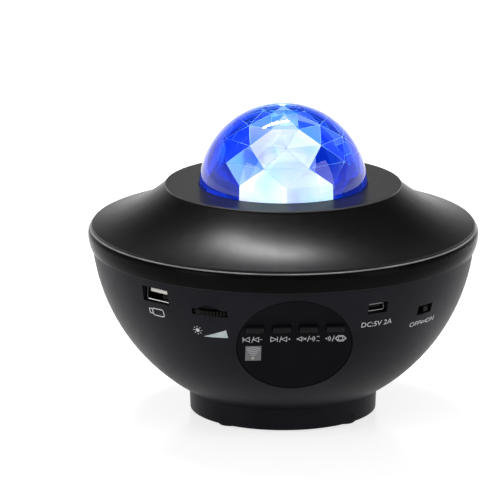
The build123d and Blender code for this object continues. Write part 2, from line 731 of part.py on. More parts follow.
def make_base_screws():
    length = FOOT_TOP_Z - base_head_z() + BASE_BITE
    return screws_up(base_screw_points(), base_head_z(), length)


def make_tie_screws():
    """Long screws through the bowl's pillars into the deck's."""
    seat = FOOT_TOP_Z + TIE_HEAD_H
    length = TIE_MEET_Z - seat + TIE_BITE
    return screws_up(pillar_points(), seat, length, shank=TIE_R, head=TIE_HEAD_R, head_h=TIE_HEAD_H)


def speaker_throat():
    """Inner radius of the speaker's flange, where the cone's edge is held."""
    return SPEAKER_R - SPEAKER_FLANGE_W


def make_speaker_frame():
    """Flanged basket with four windows."""
    low = FOOT_Z + FOOT_PLATE_T
    top = low + SPEAKER_FLANGE_T + SPEAKER_DEPTH
    metal = SPEAKER_FLANGE_T
    basket = turned(
        Polyline(
            (SPEAKER_R, low),
            (SPEAKER_R, low + metal),
            (speaker_throat() + metal, low + metal),
            (speaker_throat() + metal, low + 2 * metal),
            (MAGNET_R, top),
            (0, top),
            (0, top - metal),
            (MAGNET_R - metal, top - metal),
            (speaker_throat(), low + 2 * metal),
            (speaker_throat(), low),
            (SPEAKER_R, low),
        )
    )
    for turn in range(4):
        window = Pos(0, 0, low + 3 * metal) * Rot(0, 0, 90 * turn)
        reach = speaker_throat()
        basket -= window * Pos(reach, 0, 0) * Box(reach, MAGNET_R * 1.2, SPEAKER_DEPTH - 4 * metal, align=UP)
    return basket


def make_speaker_magnet():
    low = FOOT_Z + FOOT_PLATE_T + SPEAKER_FLANGE_T + SPEAKER_DEPTH
    magnet = drum(MAGNET_R, low, low + MAGNET_H)
    return chamfer(magnet.edges().filter_by(GeomType.CIRCLE), MAGNET_BEVEL)


def make_speaker_cone():
    """Paper cone with its rolled surround and dust cap."""
    low = FOOT_Z + FOOT_PLATE_T + CONE_T
    rim = speaker_throat() - SCREW_FIT
    depth = SPEAKER_DEPTH * 0.5
    cap = (0, low + depth - CONE_T)
    roll = (rim - SURROUND_W, low)
    return turned(
        Polyline((rim, low), (rim, low + CONE_T), (CONE_CAP_R, low + depth), (0, low + depth), cap),
        Polyline(cap, (CONE_CAP_R, cap[1]), roll),
        ThreePointArc(roll, (rim - SURROUND_W / 2, low - CONE_T / 2), (rim, low)),
    )


def make_speaker_screws():
    seat = FOOT_Z + FOOT_PLATE_T + SPEAKER_FLANGE_T
    return screws_down(speaker_screw_points(), seat, seat - FOOT_Z - SKIN - HOLE_SPARE)


def make_main_board():
    """Round control board with its chips, capacitors and sockets."""
    board = drum(MAIN_BOARD_R, MAIN_BOARD_Z, MAIN_BOARD_Z + BOARD_T)
    for hole in holes(pillar_points(), PILLAR_R + FIT, MAIN_BOARD_Z, MAIN_BOARD_Z + BOARD_T):
        board -= hole
    for hole in holes(base_screw_points(), SCREW_R + SCREW_FIT, MAIN_BOARD_Z, MAIN_BOARD_Z + BOARD_T):
        board -= hole
    top = MAIN_BOARD_Z + BOARD_T
    board += [Pos(x, y, top) * Box(w, d, h, align=UP) for x, y, w, d, h in BOARD_BLOCKS]
    board += [drum(CAPACITOR_R, top, top + CAPACITOR_H, x, y) for x, y in CAPACITORS]
    return board


def make_main_board_screws():
    return screws_down(base_screw_points(), MAIN_BOARD_Z + BOARD_T, BOARD_T + BOARD_BITE)


# ---------------------------------------------------------------- control panel
def make_control_panel():
    panel = Cylinder(PANEL_R, PANEL_T, align=DOWN)
    panel = chamfer(panel.edges().sort_by(Axis.Z)[-1], PANEL_BEVEL)
    for index in range(len(BUTTONS)):
        panel -= Pos(button_x(index), BUTTON_ROW) * Box(BUTTON_W, BUTTON_H, PANEL_T * 3)
    panel -= Pos(WINDOW_X, WINDOW_Y) * Box(WINDOW_W, WINDOW_H, PANEL_T * 3)
    return panel_plane() * panel


def make_ir_window():
    """Light grey window, flush with the panel."""
    window = Box(WINDOW_W - 2 * SCREW_FIT, WINDOW_H - 2 * SCREW_FIT, PANEL_T, align=DOWN)
    return panel_plane() * Pos(WINDOW_X, WINDOW_Y) * window


def make_button(index):
    """Cap with softened edges and a flange that stops behind the panel."""
    cap_w = BUTTON_W - 2 * BUTTON_GAP
    cap_h = BUTTON_H - 2 * BUTTON_GAP
    cap = Box(cap_w, cap_h, BUTTON_PROUD + PANEL_T + BUTTON_FLOAT, align=DOWN)
    cap = fillet(cap.edges().group_by(Axis.Z)[-1], BUTTON_SOFT)
    back = Box(cap_w + 2 * BUTTON_FLANGE, cap_h + 2 * BUTTON_FLANGE, BUTTON_FLANGE_T, align=DOWN)
    cap += Pos(0, 0, -BUTTON_PROUD - PANEL_T - BUTTON_FLOAT) * back
    return panel_plane(BUTTON_PROUD) * Pos(button_x(index), BUTTON_ROW) * cap


def make_button_board():
    middle = (BUTTON_BOARD_TOP + BUTTON_BOARD_LOW) / 2
    height = BUTTON_BOARD_TOP - BUTTON_BOARD_LOW
    board = Pos(0, middle) * Box(BUTTON_BOARD_W, height, BOARD_T, align=DOWN)
    for x, y in button_board_bosses():
        board -= Pos(x, y) * Cylinder(SCREW_R + SCREW_FIT, BOARD_T * 3)
    return panel_plane(-board_depth()) * board


def make_tact_switches():
    switch = Box(TACT_W, TACT_W, TACT_H, align=UP)
    switch += Pos(0, 0, TACT_H) * Cylinder(PLUNGER_R, PLUNGER_H, align=UP)
    plane = panel_plane(-board_depth())
    return joined(plane * Pos(button_x(index), BUTTON_ROW) * switch for index in range(len(BUTTONS)))


def make_ir_receiver():
    """Receiver with its round eye, behind the window."""
    height = board_depth() - PANEL_T - FIT - RECEIVER_EYE_R
    body = Box(RECEIVER_W, RECEIVER_W, height, align=UP)
    body += Pos(0, 0, height) * (Sphere(RECEIVER_EYE_R) & Box(RECEIVER_W, RECEIVER_W, RECEIVER_W, align=UP))
    return panel_plane(-board_depth()) * Pos(WINDOW_X, WINDOW_Y) * body


def make_button_board_screws():
    place = panel_plane(-board_depth() - BOARD_T)
    length = BOARD_T + BUTTON_BOARD_BITE
    return joined(place * Pos(x, y) * screw(length) for x, y in button_board_bosses())


# ---------------------------------------------------------------- sockets, dimmer and switch
def port_board(azimuths, board_z, boss_azimuths):
    """Crescent board that follows the wall of the bowl."""
    outer = bowl_radius(board_z, BOWL_IN_R) - PORT_BOARD_GAP
    board = tube(outer, outer - PORT_BOARD_W, board_z, board_z + BOARD_T)
    start, end = azimuths
    wedge = [at_azimuth(azimuth, 2 * outer) for azimuth in (start, (start + end) / 2, end)]
    board &= Pos(0, 0, board_z) * extrude(make_face(Polyline((0, 0), *wedge, close=True)), BOARD_T)
    bosses = port_boss_points(boss_azimuths, board_z)
    for hole in holes(bosses, SCREW_R + SCREW_FIT, board_z, board_z + BOARD_T):
        board -= hole
    return board


def make_left_port_board():
    return port_board(LEFT_BOARD_AZIMUTHS, LEFT_BOARD_Z, LEFT_BOSS_AZIMUTHS)


def make_right_port_board():
    return port_board(RIGHT_BOARD_AZIMUTHS, RIGHT_BOARD_Z, RIGHT_BOSS_AZIMUTHS)


def make_port_board_screws():
    left = port_boss_points(LEFT_BOSS_AZIMUTHS, LEFT_BOARD_Z)
    right = port_boss_points(RIGHT_BOSS_AZIMUTHS, RIGHT_BOARD_Z)
    length = BOARD_T + PORT_BITE
    pieces = list(screws_down(left, LEFT_BOARD_Z + BOARD_T, length).children)
    pieces += list(screws_down(right, RIGHT_BOARD_Z + BOARD_T, length).children)
    return joined(pieces)


def socket_shell(width, height, depth, metal):
    """Folded metal box, open in front, with a solid back."""
    shell = fillet(Box(width, height, depth, align=DOWN).edges().filter_by(Axis.Z), metal * 1.5)
    return shell - Pos(0, 0, metal) * Box(width - 2 * metal, height - 2 * metal, depth, align=DOWN)


def usb_plane():
    return port_plane(USB_AZIMUTH, USB_Z, bowl_radius(USB_Z) - USB_SUNK)


def make_usb_socket_shell():
    return usb_plane() * socket_shell(USB_W, USB_H, USB_DEPTH, USB_METAL)


def make_usb_socket_tongue():
    """Insulating tongue in the upper half of the socket, on the block that fills its back."""
    inner_w = USB_W - 2 * USB_METAL
    inner_h = USB_H - 2 * USB_METAL
    length = USB_DEPTH - USB_METAL - TONGUE_SET
    block = Pos(0, 0, -USB_DEPTH + USB_METAL) * Box(inner_w, inner_h, USB_BLOCK, align=UP)
    tongue = Pos(0, inner_h / 2 - USB_TONGUE_T / 2 - USB_TONGUE_GAP, -TONGUE_SET)
    tongue *= Box(USB_TONGUE_W, USB_TONGUE_T, length, align=DOWN)
    return usb_plane() * (block + tongue)


def inlet_plane():
    return port_plane(INLET_AZIMUTH, INLET_Z, bowl_radius(INLET_Z) - INLET_SUNK)


def make_power_inlet_shell():
    return inlet_plane() * socket_shell(INLET_W, INLET_H, INLET_DEPTH, INLET_METAL)


def make_power_inlet_tongue():
    inner_w = INLET_W - 2 * INLET_METAL
    inner_h = INLET_H - 2 * INLET_METAL
    length = INLET_DEPTH - INLET_METAL - TONGUE_SET
    block = Pos(0, 0, -INLET_DEPTH + INLET_METAL) * Box(inner_w, inner_h, INLET_BLOCK, align=UP)
    tongue = Pos(0, INLET_TONGUE_UP, -TONGUE_SET)
    tongue *= Box(INLET_TONGUE_W, INLET_TONGUE_T, length, align=DOWN)
    return inlet_plane() * (block + tongue)


def switch_plane():
    return port_plane(SWITCH_AZIMUTH, SWITCH_Z, bowl_radius(SWITCH_Z) - SWITCH_SUNK)


def make_switch_housing():
    housing = Box(SWITCH_W, SWITCH_H, SWITCH_DEPTH, align=DOWN)
    slot_w = KNOB_W + KNOB_TRAVEL + 2 * KNOB_GAP
    housing -= Box(slot_w, KNOB_H + 2 * KNOB_GAP, 2 * (KNOB_ROOT + KNOB_GAP))
    return switch_plane() * housing


def make_switch_knob():
    """Slider, at its ON end."""
    length = KNOB_ROOT + SWITCH_SUNK - KNOB_SUNK
    knob = Box(KNOB_W, KNOB_H, length, align=UP)
    knob = fillet(knob.edges().group_by(Axis.Z)[-1], KNOB_SOFT)
    return switch_plane() * Pos(KNOB_TRAVEL / 2, 0, -KNOB_ROOT) * knob


def dimmer_centre():
    return at_azimuth(DIMMER_AZIMUTH, bowl_radius(DIMMER_Z) + DIMMER_PROUD - DIMMER_R)


def make_dimmer_wheel():
    """Thumb wheel with a ribbed edge and a short hub."""
    x, y = dimmer_centre()
    low = DIMMER_Z - DIMMER_T / 2
    points = []
    for rib in range(DIMMER_RIBS):
        for share, radius in ((0, DIMMER_R), (0.5, DIMMER_R), (0.75, DIMMER_R - DIMMER_RIB_DEPTH)):
            angle = 2 * math.pi * (rib + share) / DIMMER_RIBS
            points.append((radius * math.cos(angle), radius * math.sin(angle)))
    wheel = Pos(x, y, low) * extrude(make_face(Polyline(*points, close=True)), DIMMER_T)
    wheel += drum(DIMMER_HUB_R, low, DIMMER_Z + DIMMER_T / 2 + DIMMER_HUB_H, x, y)
    return wheel - drum(DIMMER_SHAFT_R + RUNNING_FIT, low, DIMMER_Z + DIMMER_T, x, y)


def make_dimmer_pot():
    """Rotary control under the left board, with a headed shaft that carries the wheel."""
    x, y = dimmer_centre()
    wheel_low = DIMMER_Z - DIMMER_T / 2
    body_low = DIMMER_Z + DIMMER_T / 2 + DIMMER_HUB_H + DIMMER_FLOAT
    head_top = wheel_low - DIMMER_FLOAT
    pot = drum(POT_R, body_low, LEFT_BOARD_Z, x, y)
    pot += drum(DIMMER_SHAFT_R, head_top, body_low, x, y)
    return pot + drum(DIMMER_SHAFT_R + POT_HEAD_W, head_top - POT_HEAD_T, head_top, x, y)


# ---------------------------------------------------------------- light deck and drive
def motor_centre():
    return at_azimuth(MOTOR_AZIMUTH, DRIVE_CENTRES)


def motor_ear_points():
    """Ears to both sides of the motor, along the circle."""
    x, y = motor_centre()
    along = at_azimuth(MOTOR_AZIMUTH + 90, MOTOR_EAR_X)
    return [(x + side * along[0], y + side * along[1]) for side in (-1, 1)]


def led_screw_points():
    return on_circle(LED_SCREWS, (HUB_BORE_R + HUB_R) / 2, 90)


def make_light_deck():
    """Plate under the cover: bearing hub on top, pillars for the tie screws below."""
    deck = drum(DECK_R, DECK_Z, DECK_TOP_Z)
    deck += drum(HUB_R, DECK_Z, DECK_TOP_Z + HUB_H)
    deck += drum(HUB_R + THRUST_W, DECK_Z, DECK_TOP_Z + THRUST_H)
    deck -= drum(HUB_BORE_R, DECK_Z, DECK_TOP_Z + HUB_H)
    for x, y in pillar_points():
        deck += drum(PILLAR_R, TIE_MEET_Z, DECK_TOP_Z, x, y)
        deck -= drum(TIE_R + SCREW_FIT, TIE_MEET_Z, TIE_MEET_Z + TIE_BITE + HOLE_SPARE, x, y)
    for hole in holes(deck_post_points(), SCREW_R + SCREW_FIT, DECK_Z, DECK_TOP_Z):
        deck -= hole
    for hole in holes(motor_ear_points(), SCREW_R + SCREW_FIT, DECK_Z, DECK_TOP_Z):
        deck -= hole
    led_hole = LED_BOARD_BITE + HOLE_SPARE
    for hole in holes(led_screw_points(), SMALL_R + SCREW_FIT, DECK_Z, DECK_Z + led_hole):
        deck -= hole
    x, y = motor_centre()
    return deck - drum(MOTOR_BUSH_R + SCREW_FIT, DECK_Z, DECK_TOP_Z, x, y)


def make_deck_screws():
    return screws_up(deck_post_points(), DECK_Z, DECK_T + DECK_BITE)


def make_led_board():
    board = drum(LED_BOARD_R, LED_BOARD_Z, DECK_Z)
    for hole in holes(led_screw_points(), SMALL_R + SCREW_FIT, LED_BOARD_Z, DECK_Z):
        board -= hole
    return board


def make_led_board_screws():
    sizes = {"shank": SMALL_R, "head": SMALL_HEAD_R, "head_h": SMALL_HEAD_H}
    return screws_up(led_screw_points(), LED_BOARD_Z, BOARD_T + LED_BOARD_BITE, **sizes)


def make_leds():
    """White, red, green and blue emitters with domed lenses."""
    leds = []
    for x, y in on_circle(4, LED_CIRCLE, 45):
        led = Box(LED_W, LED_W, LED_T, align=UP)
        led += Pos(0, 0, LED_T) * (Sphere(LED_LENS_R) & Box(LED_W, LED_W, LED_W, align=UP))
        leds.append(Pos(x, y + LIGHT_Y, DECK_Z) * led)
    return joined(leds)


def make_light_reflector():
    """Bright funnel round the LEDs."""
    funnel = turned(
        Polyline(
            (REFLECTOR_FOOT_R, 0),
            (REFLECTOR_R, 0),
            (REFLECTOR_R, REFLECTOR_H),
            (REFLECTOR_R - REFLECTOR_WALL, REFLECTOR_H),
            (REFLECTOR_FOOT_R, 0),
        )
    )
    return Pos(0, LIGHT_Y, DECK_Z) * funnel


def make_condenser_lens():
    """Crowned lens on the reflector."""
    edge = (REFLECTOR_R, REFLECTOR_H + CONDENSER_EDGE)
    crown = (0, edge[1] + CONDENSER_RISE)
    between = (REFLECTOR_R / 2, edge[1] + CONDENSER_RISE * 0.75)
    lens = turned(
        ThreePointArc(crown, between, edge),
        Polyline(edge, (REFLECTOR_R, REFLECTOR_H), (0, REFLECTOR_H), crown),
    )
    return Pos(0, LIGHT_Y, DECK_Z) * lens


def make_laser_module():
    """Brass barrel with its lens ring."""
    top = DECK_Z + LASER_H
    barrel = drum(LASER_R, DECK_Z, top - LASER_RING_H, 0, LASER_Y)
    barrel += drum(LASER_RING_R, DECK_Z, top, 0, LASER_Y)
    return barrel - drum(LASER_BORE_R, top - LASER_RING_H, top, 0, LASER_Y)


def make_heat_sink():
    base_low = LED_BOARD_Z - HEAT_SINK_BASE_T
    sink = drum(HEAT_SINK_R, base_low, LED_BOARD_Z)
    pitch = 2 * HEAT_SINK_R / FINS
    for index in range(FINS):
        across = (index - (FINS - 1) / 2) * pitch
        length = 2 * math.sqrt(HEAT_SINK_R ** 2 - (abs(across) + FIN_T / 2) ** 2)
        sink += Pos(0, across, base_low) * Box(length, FIN_T, FIN_H, align=DOWN)
    for hole in holes(led_screw_points(), SMALL_HEAD_R + FIT, base_low - FIN_H, LED_BOARD_Z):
        sink -= hole
    return sink


def involute(angle):
    return math.tan(angle) - angle


def gear_outline(teeth, turn):
    """Closed outline of an external gear; the middle of one tooth lies at an angle."""
    pitch_r = MODULE * teeth / 2
    base_r = pitch_r * math.cos(math.radians(PRESSURE_ANGLE))
    root_r = pitch_r - DEDENDUM * MODULE
    tip_r = pitch_r + ADDENDUM * MODULE
    half = (math.pi * MODULE / 2 - BACKLASH) / (2 * pitch_r) + involute(math.radians(PRESSURE_ANGLE))
    start_r = max(base_r, root_r)
    radii = [start_r + (tip_r - start_r) * share for share in (0, 0.35, 0.7, 1)]
    if root_r < base_r:
        radii.insert(0, root_r)
    flank = [(radius, half - involute(math.acos(min(1, base_r / radius)))) for radius in radii]
    points = []
    for tooth in range(teeth):
        middle = math.radians(turn) + 2 * math.pi * tooth / teeth
        side = [(radius, middle - offset) for radius, offset in flank]
        side += [(radius, middle + offset) for radius, offset in reversed(flank)]
        points += [(radius * math.cos(angle), radius * math.sin(angle)) for radius, angle in side]
    return make_face(Polyline(*points, close=True))


def drive_angle():
    """Angle from +X of the line from the axis to the motor."""
    x, y = motor_centre()
    return math.degrees(math.atan2(y, x))


def make_lens_carrier():
    """Ring gear on the deck's hub, with a ledge and a wall that hold the grating and the lens."""
    bore = HUB_R + RUNNING_FIT
    wall_r = bore + CARRIER_WALL + CARRIER_RIM
    carrier = Pos(0, 0, CARRIER_Z) * extrude(gear_outline(CARRIER_TEETH, drive_angle()), GEAR_T)
    carrier += drum(wall_r, CARRIER_Z, LENS_Z + GRATING_T + RIPPLE_T)
    carrier -= drum(bore, CARRIER_Z, CARRIER_LEDGE_Z)
    carrier -= drum(bore - CARRIER_LEDGE, CARRIER_Z, LENS_Z)
    return carrier - drum(LENS_R + SCREW_FIT, LENS_Z, LENS_Z + GRATING_T + RIPPLE_T)


def make_grating_film():
    return drum(LENS_R, LENS_Z, LENS_Z + GRATING_T)


def make_ripple_lens():
    """Clear rim with a hollow, faceted cap whose facets ripple the light."""
    low = LENS_Z + GRATING_T
    top = low + RIPPLE_T
    middle = top + RIPPLE_LIFT
    cap = faceted_cap(RIPPLE_BALL_R, middle, low, RIPPLE_LATITUDES, RIPPLE_FACETS)
    hollow = faceted_cap(RIPPLE_BALL_R - RIPPLE_T, middle, low - RIPPLE_T, RIPPLE_LATITUDES, RIPPLE_FACETS)
    return drum(LENS_R, low, top) + cap - hollow


def make_drive_pinion():
    x, y = motor_centre()
    gap_angle = drive_angle() + 180 + 180 / PINION_TEETH
    pinion = Pos(x, y, CARRIER_Z) * extrude(gear_outline(PINION_TEETH, gap_angle), GEAR_T)
    return pinion - drum(SHAFT_R, CARRIER_Z, CARRIER_Z + GEAR_T, x, y)


def make_motor_shaft():
    x, y = motor_centre()
    return drum(SHAFT_R, DECK_Z - SHAFT_IN_MOTOR, CARRIER_Z + GEAR_T + SHAFT_TIP, x, y)


def make_drive_motor():
    """Flat geared motor hung under the deck by two ears."""
    x, y = motor_centre()
    motor = drum(MOTOR_R, DECK_Z - MOTOR_H, DECK_Z, x, y)
    ears = motor_ear_points()
    for ear_x, ear_y in ears:
        motor += drum(MOTOR_EAR_R, DECK_Z - MOTOR_EAR_T, DECK_Z, ear_x, ear_y)
    bridge = Box(2 * MOTOR_EAR_X, 2 * MOTOR_EAR_R, MOTOR_EAR_T, align=DOWN)
    motor += Pos(x, y, DECK_Z) * Rot(0, 0, MOTOR_AZIMUTH) * bridge
    motor += drum(MOTOR_BUSH_R, DECK_Z, DECK_Z + MOTOR_BUSH_H, x, y)
    for hole in holes(ears, SCREW_R + SCREW_FIT, DECK_Z - MOTOR_EAR_T, DECK_Z):
        motor -= hole
    bore_low = DECK_Z - SHAFT_IN_MOTOR - SHAFT_END_GAP
    bore = drum(SHAFT_R + RUNNING_FIT, bore_low, DECK_Z + MOTOR_BUSH_H, x, y)
    return motor - bore


def make_motor_screws():
    return screws_up(motor_ear_points(), DECK_Z - MOTOR_EAR_T, MOTOR_EAR_T + DECK_T)


def make_dome_screws():
    return screws_up(clamp_screw_points(), CLAMP_Z, CLAMP_T + CLAMP_BITE)


# ---------------------------------------------------------------- every node
NODES = {
    "lower_bowl": make_lower_bowl,
    "rim_band": make_rim_band,
    "top_cover": make_top_cover,
    "crystal_dome": make_crystal_dome,
    "dome_clamp_ring": make_dome_clamp_ring,
    "dome_screws": make_dome_screws,
    "foot_base": make_foot_base,
    "rubber_feet": make_rubber_feet,
    "base_screws": make_base_screws,
    "tie_screws": make_tie_screws,
    "speaker_frame": make_speaker_frame,
    "speaker_magnet": make_speaker_magnet,
    "speaker_cone": make_speaker_cone,
    "speaker_screws": make_speaker_screws,
    "main_board": make_main_board,
    "main_board_screws": make_main_board_screws,
    "control_panel": make_control_panel,
    "ir_window": make_ir_window,
    "button_board": make_button_board,
    "tact_switches": make_tact_switches,
    "ir_receiver": make_ir_receiver,
    "button_board_screws": make_button_board_screws,
    "left_port_board": make_left_port_board,
    "right_port_board": make_right_port_board,
    "port_board_screws": make_port_board_screws,
    "usb_socket_shell": make_usb_socket_shell,
    "usb_socket_tongue": make_usb_socket_tongue,
    "power_inlet_shell": make_power_inlet_shell,
    "power_inlet_tongue": make_power_inlet_tongue,
    "switch_housing": make_switch_housing,
    "switch_knob": make_switch_knob,
    "dimmer_pot": make_dimmer_pot,
    "dimmer_wheel": make_dimmer_wheel,
    "light_deck": make_light_deck,
    "deck_screws": make_deck_screws,
    "led_board": make_led_board,
    "led_board_screws": make_led_board_screws,
    "leds": make_leds,
    "light_reflector": make_light_reflector,
    "condenser_lens": make_condenser_lens,
    "laser_module": make_laser_module,
    "heat_sink": make_heat_sink,
    "drive_motor": make_drive_motor,
    "motor_screws": make_motor_screws,
    "motor_shaft": make_motor_shaft,
    "drive_pinion": make_drive_pinion,
    "lens_carrier": make_lens_carrier,
    "grating_film": make_grating_film,
    "ripple_lens": make_ripple_lens,
}


def main():
    os.makedirs("parts", exist_ok=True)
    for name, make in NODES.items():
        export_step(make(), f"parts/{name}.step")
    for index, name in enumerate(BUTTONS):
        export_step(make_button(index), f"parts/button_{name}.step")


main()
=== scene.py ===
"""Looks of the star night light projector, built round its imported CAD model.

Metres. The row frame is the CAD's: origin on the floor under the foot, +Z up, the panel towards -Y.
"""
import json
import math

import bmesh
import bpy
from mathutils import Matrix, Vector


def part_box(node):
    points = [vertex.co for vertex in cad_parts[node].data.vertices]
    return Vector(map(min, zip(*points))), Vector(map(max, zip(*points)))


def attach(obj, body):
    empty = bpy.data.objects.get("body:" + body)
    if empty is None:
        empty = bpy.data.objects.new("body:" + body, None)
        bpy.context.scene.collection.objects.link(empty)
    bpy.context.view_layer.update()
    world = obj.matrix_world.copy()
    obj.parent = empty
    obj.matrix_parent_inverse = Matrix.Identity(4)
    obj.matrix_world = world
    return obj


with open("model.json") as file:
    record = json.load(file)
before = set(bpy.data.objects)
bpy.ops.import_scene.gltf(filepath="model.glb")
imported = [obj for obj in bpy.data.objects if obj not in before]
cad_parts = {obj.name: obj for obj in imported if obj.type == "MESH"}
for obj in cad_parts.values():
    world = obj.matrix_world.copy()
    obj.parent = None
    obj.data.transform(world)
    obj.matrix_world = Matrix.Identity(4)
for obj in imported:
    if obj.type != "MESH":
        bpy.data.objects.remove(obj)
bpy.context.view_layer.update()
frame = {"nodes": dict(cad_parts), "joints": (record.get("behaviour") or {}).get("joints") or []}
NODES = frame["nodes"]
MM = 0.001

# ---------------------------------------------------------------- camera
FRAME_PIXELS = 500
PIXELS_PER_METRE = 2327.0           # at the object's axis
VIEW_AZIMUTH = math.radians(-3.55)
VIEW_ELEVATION = math.radians(14.6)
VIEW_DISTANCE = 2.5
BALL_PIXEL = (283.2, 223.1)         # where the middle of the bowl's ball lies in the frame
SENSOR_MM = 36.0
FARTHEST = 20

# ---------------------------------------------------------------- places, from the frame
BALL_R = 82.5 * MM
FOOT_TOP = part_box("foot_base")[1]
BALL = Vector((0, 0, FOOT_TOP.z + math.sqrt(BALL_R ** 2 - FOOT_TOP.x ** 2)))
JOINTS = {joint["name"]: joint for joint in frame["joints"]}
PANEL_NORMAL = -Vector(JOINTS["button_mute_press"]["axis"]).normalized()
PANEL_RIGHT = Vector((1, 0, 0))
PANEL_UP = PANEL_NORMAL.cross(PANEL_RIGHT)
PANEL_OUT = max((v.co - BALL).dot(PANEL_NORMAL) for v in NODES["control_panel"].data.vertices)
PANEL_MIDDLE = BALL + PANEL_NORMAL * PANEL_OUT
COLLAR_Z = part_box("top_cover")[1].z
DOME_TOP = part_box("crystal_dome")[1]
BAND_FOOT, BAND_TOP = (corner.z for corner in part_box("rim_band"))

# ---------------------------------------------------------------- printed marks
INK_ABOVE = 0.04 * MM
INK_BELOW = 0.03 * MM
INK_GRID = 1.2 * MM                 # longest stretch of ink before it bends with the ball
SAME_POINT_MM = 1e-5
SHARPEST_MITRE = 0.35               # cosine that limits how far a mitred corner reaches
ICON_LINE = 0.3                     # widths of lines, in millimetres
OUTLINE = 0.42
INNER_OUTLINE = 0.28
WAVE_LINE = 0.34
ARROW_LINE = 0.32
RAY_LINE = 0.3
DISC_STEPS = 24                     # straight pieces of a disc, a corner, an arc and a letter
CORNER_STEPS = 5
SIGNAL_STEPS = 8
WAVE_STEPS = 12
LETTER_STEPS = 3
SIGNAL_RADII = (1.0, 1.75)
SIGNAL_SPREAD = 52                  # degrees to each side
WAVE_RADII = (1.7, 2.75, 3.8, 4.85, 5.9)
WAVE_SPREAD = 30
WAVE_FOOT = -2.7                    # from the middle of the window, in millimetres
ICON_ROW = 3.4 * MM                 # above the middle of the panel

# ---------------------------------------------------------------- crystal
DOME_R = DOME_TOP.z - COLLAR_Z + 1.8 * MM
DOME_MIDDLE = Vector((0, 0, DOME_TOP.z - DOME_R))
FACET_R = DOME_R - 2.8 * MM         # corners of the facets inside
CORNER_SLACK = 0.02 * MM
EDGE_R = 0.05 * MM                  # softened edges between them, as tubes that carry painted glints
EDGE_SIDES = 6
RING_RISE_MM = 1                    # the lowest ring of edges, up to this height, gets no painted glint
CRYSTAL_SEED = 19.5
CRYSTAL_HUES = 3.1                  # how fast the crystal's facets change with their direction
LENS_HUES = 2.2                     # and how fast the lit lens's facets do
DRIFT_SCALE = 50                    # faint change across a facet, per metre
CRYSTAL_DRIFT = 0.08
LENS_DRIFT = 0.05
# strengths of the painted glows on the crystal's facets and on the lens
CRYSTAL_GLOW = 2.7
LENS_GLOW = 2.4
CRYSTAL_HELD = 1.0                  # share of a glow that doesn't light the surfaces round it
LENS_HELD = 0.8
LENS_ROUGHNESS = 0.3
# strength of the painted glints along the facet edges
EDGE_GLOW = 2.6
EDGE_SCALE = 45                     # painted glints along the edges, per metre
EDGE_COLOR = (0.8, 0.9, 1.0)
EDGE_ROUGHNESS = 0.2
ABSORBED = (0.0, 0.6, 0.93)         # what thick crystal lets through
ABSORPTION = 92.0                   # per metre
BEAMS = 2                           # beams of the painted glow round the dome
BEAM_AZIMUTH = math.radians(-94.2)  # of the first, from +X
BEAM_TOP = 0.88                     # facets steeper than this catch less
BEAM_FADE = 6.0
BEAM_EDGE = 0.35                    # cosine at which a beam fades, and how sharply
BEAM_GAIN = 1.6
CHANCE = 0.5                        # how much of what a facet catches is chance, either way
HUE_SCALE = 75.0                    # drifts of hue in the painted glow of the facets, per metre

# ---------------------------------------------------------------- surfaces; scales are per metre
NOISE_LOW, NOISE_HIGH = 0.3, 0.7    # between which most values of a noise lie
PLASTIC_TONES = ((0.35, 0.85), (0.65, 1.2))     # place in the noise, factor of the colour
METAL_TONES = ((0.3, 0.8), (0.7, 1.12))
CLEAR_TONES = ((0.3, 0.96), (0.7, 1.0))
INK_TONES = ((0.3, 0.85), (0.6, 1.0))
CLOUD_SCALE = 55                    # mottling of a moulding's colour
GLOSS_SCALE = 260                   # mottling of its gloss
GLOSS_VARIES = 0.02                 # of its roughness, either way
EDGE_HIGHLIGHT_SCALE = 90                      # unevenness of a painted highlight along an edge
FAINTEST_EDGE_HIGHLIGHT = 0.55
BRUSHING = (60, 60, 900)            # a metal's grain along X, Y and Z
BRUSHED_DEPTH = 0.004 * MM
METAL_VARIES = 0.2                  # share of its roughness, either way
CLEAR_IOR = 1.49
HAZE_SCALE = 120
TRACK_SCALE = 160.0                 # copper tracks of a board
TRACK_WIDTH = 0.03
TRACK_TONES = (("Color1", 1.0), ("Color2", 1.25), ("Mortar", 2.2))
MASK_SCALE = 900                    # unevenness of its solder mask
MASK_DEPTH = 0.01 * MM
MASK_ROUGHNESS = 0.35
INK_COVER_SCALE = 1500
INK_GRAIN_SCALE = 2500
INK_DEPTH = 0.01 * MM
INK_ROUGHNESS = 0.55
INK_SPECULAR = 0.3

# ---------------------------------------------------------------- studio
WALL_TOP = 0.08                     # sine of the elevation at which the white wall ends
CEILING = 0.42                      # and at which the ceiling begins
CEILING_SHADE = 0.02
SOFT_LIGHT = 0.45                   # of the world, on the object
FLOOR_HALF = 6
FLOOR_CELLS = 8
FLOOR_GREY = 0.5
FLOOR_GLOW = 0.72                   # where it is seen
FLOOR_ROUGHNESS = 0.12
FLOOR_SPECULAR = 0.3
LAMPS = (                           # name, place, aim, width and height, watts
    ("overhead", (-0.12, 0.45, 1.25), (0, 0, 0.09), (0.55, 0.10), 18),
    ("front_strip", (0, -0.75, 1.15), (0, 0, 0.08), (1.3, 0.3), 3.0),
    ("back", (0.09, 1.45, 0.51), (0, 0, 0.13), (0.06, 0.35), 0.12),
    ("left", (-1.15, -0.8, 0.6), (0, 0, 0.06), (0.6, 0.9), 5.8),
    ("right", (1.15, -0.7, 0.55), (0, 0, 0.06), (0.6, 0.9), 4.2),
)


# ================================================================ nodes of materials
def principled(material):
    """Node tree of a material and its Principled shader."""
    return material.node_tree, material.node_tree.nodes["Principled BSDF"]


def new_material(name):
    """New material, with its node tree and its Principled shader."""
    material = bpy.data.materials.new(name)
    material.use_nodes = True
    return material, *principled(material)


def add_node(tree, kind, **inputs):
    """New node; an underscore in an input's name stands for a space."""
    node = tree.nodes.new(kind)
    for key, value in inputs.items():
        node.inputs[key.replace("_", " ")].default_value = value
    return node


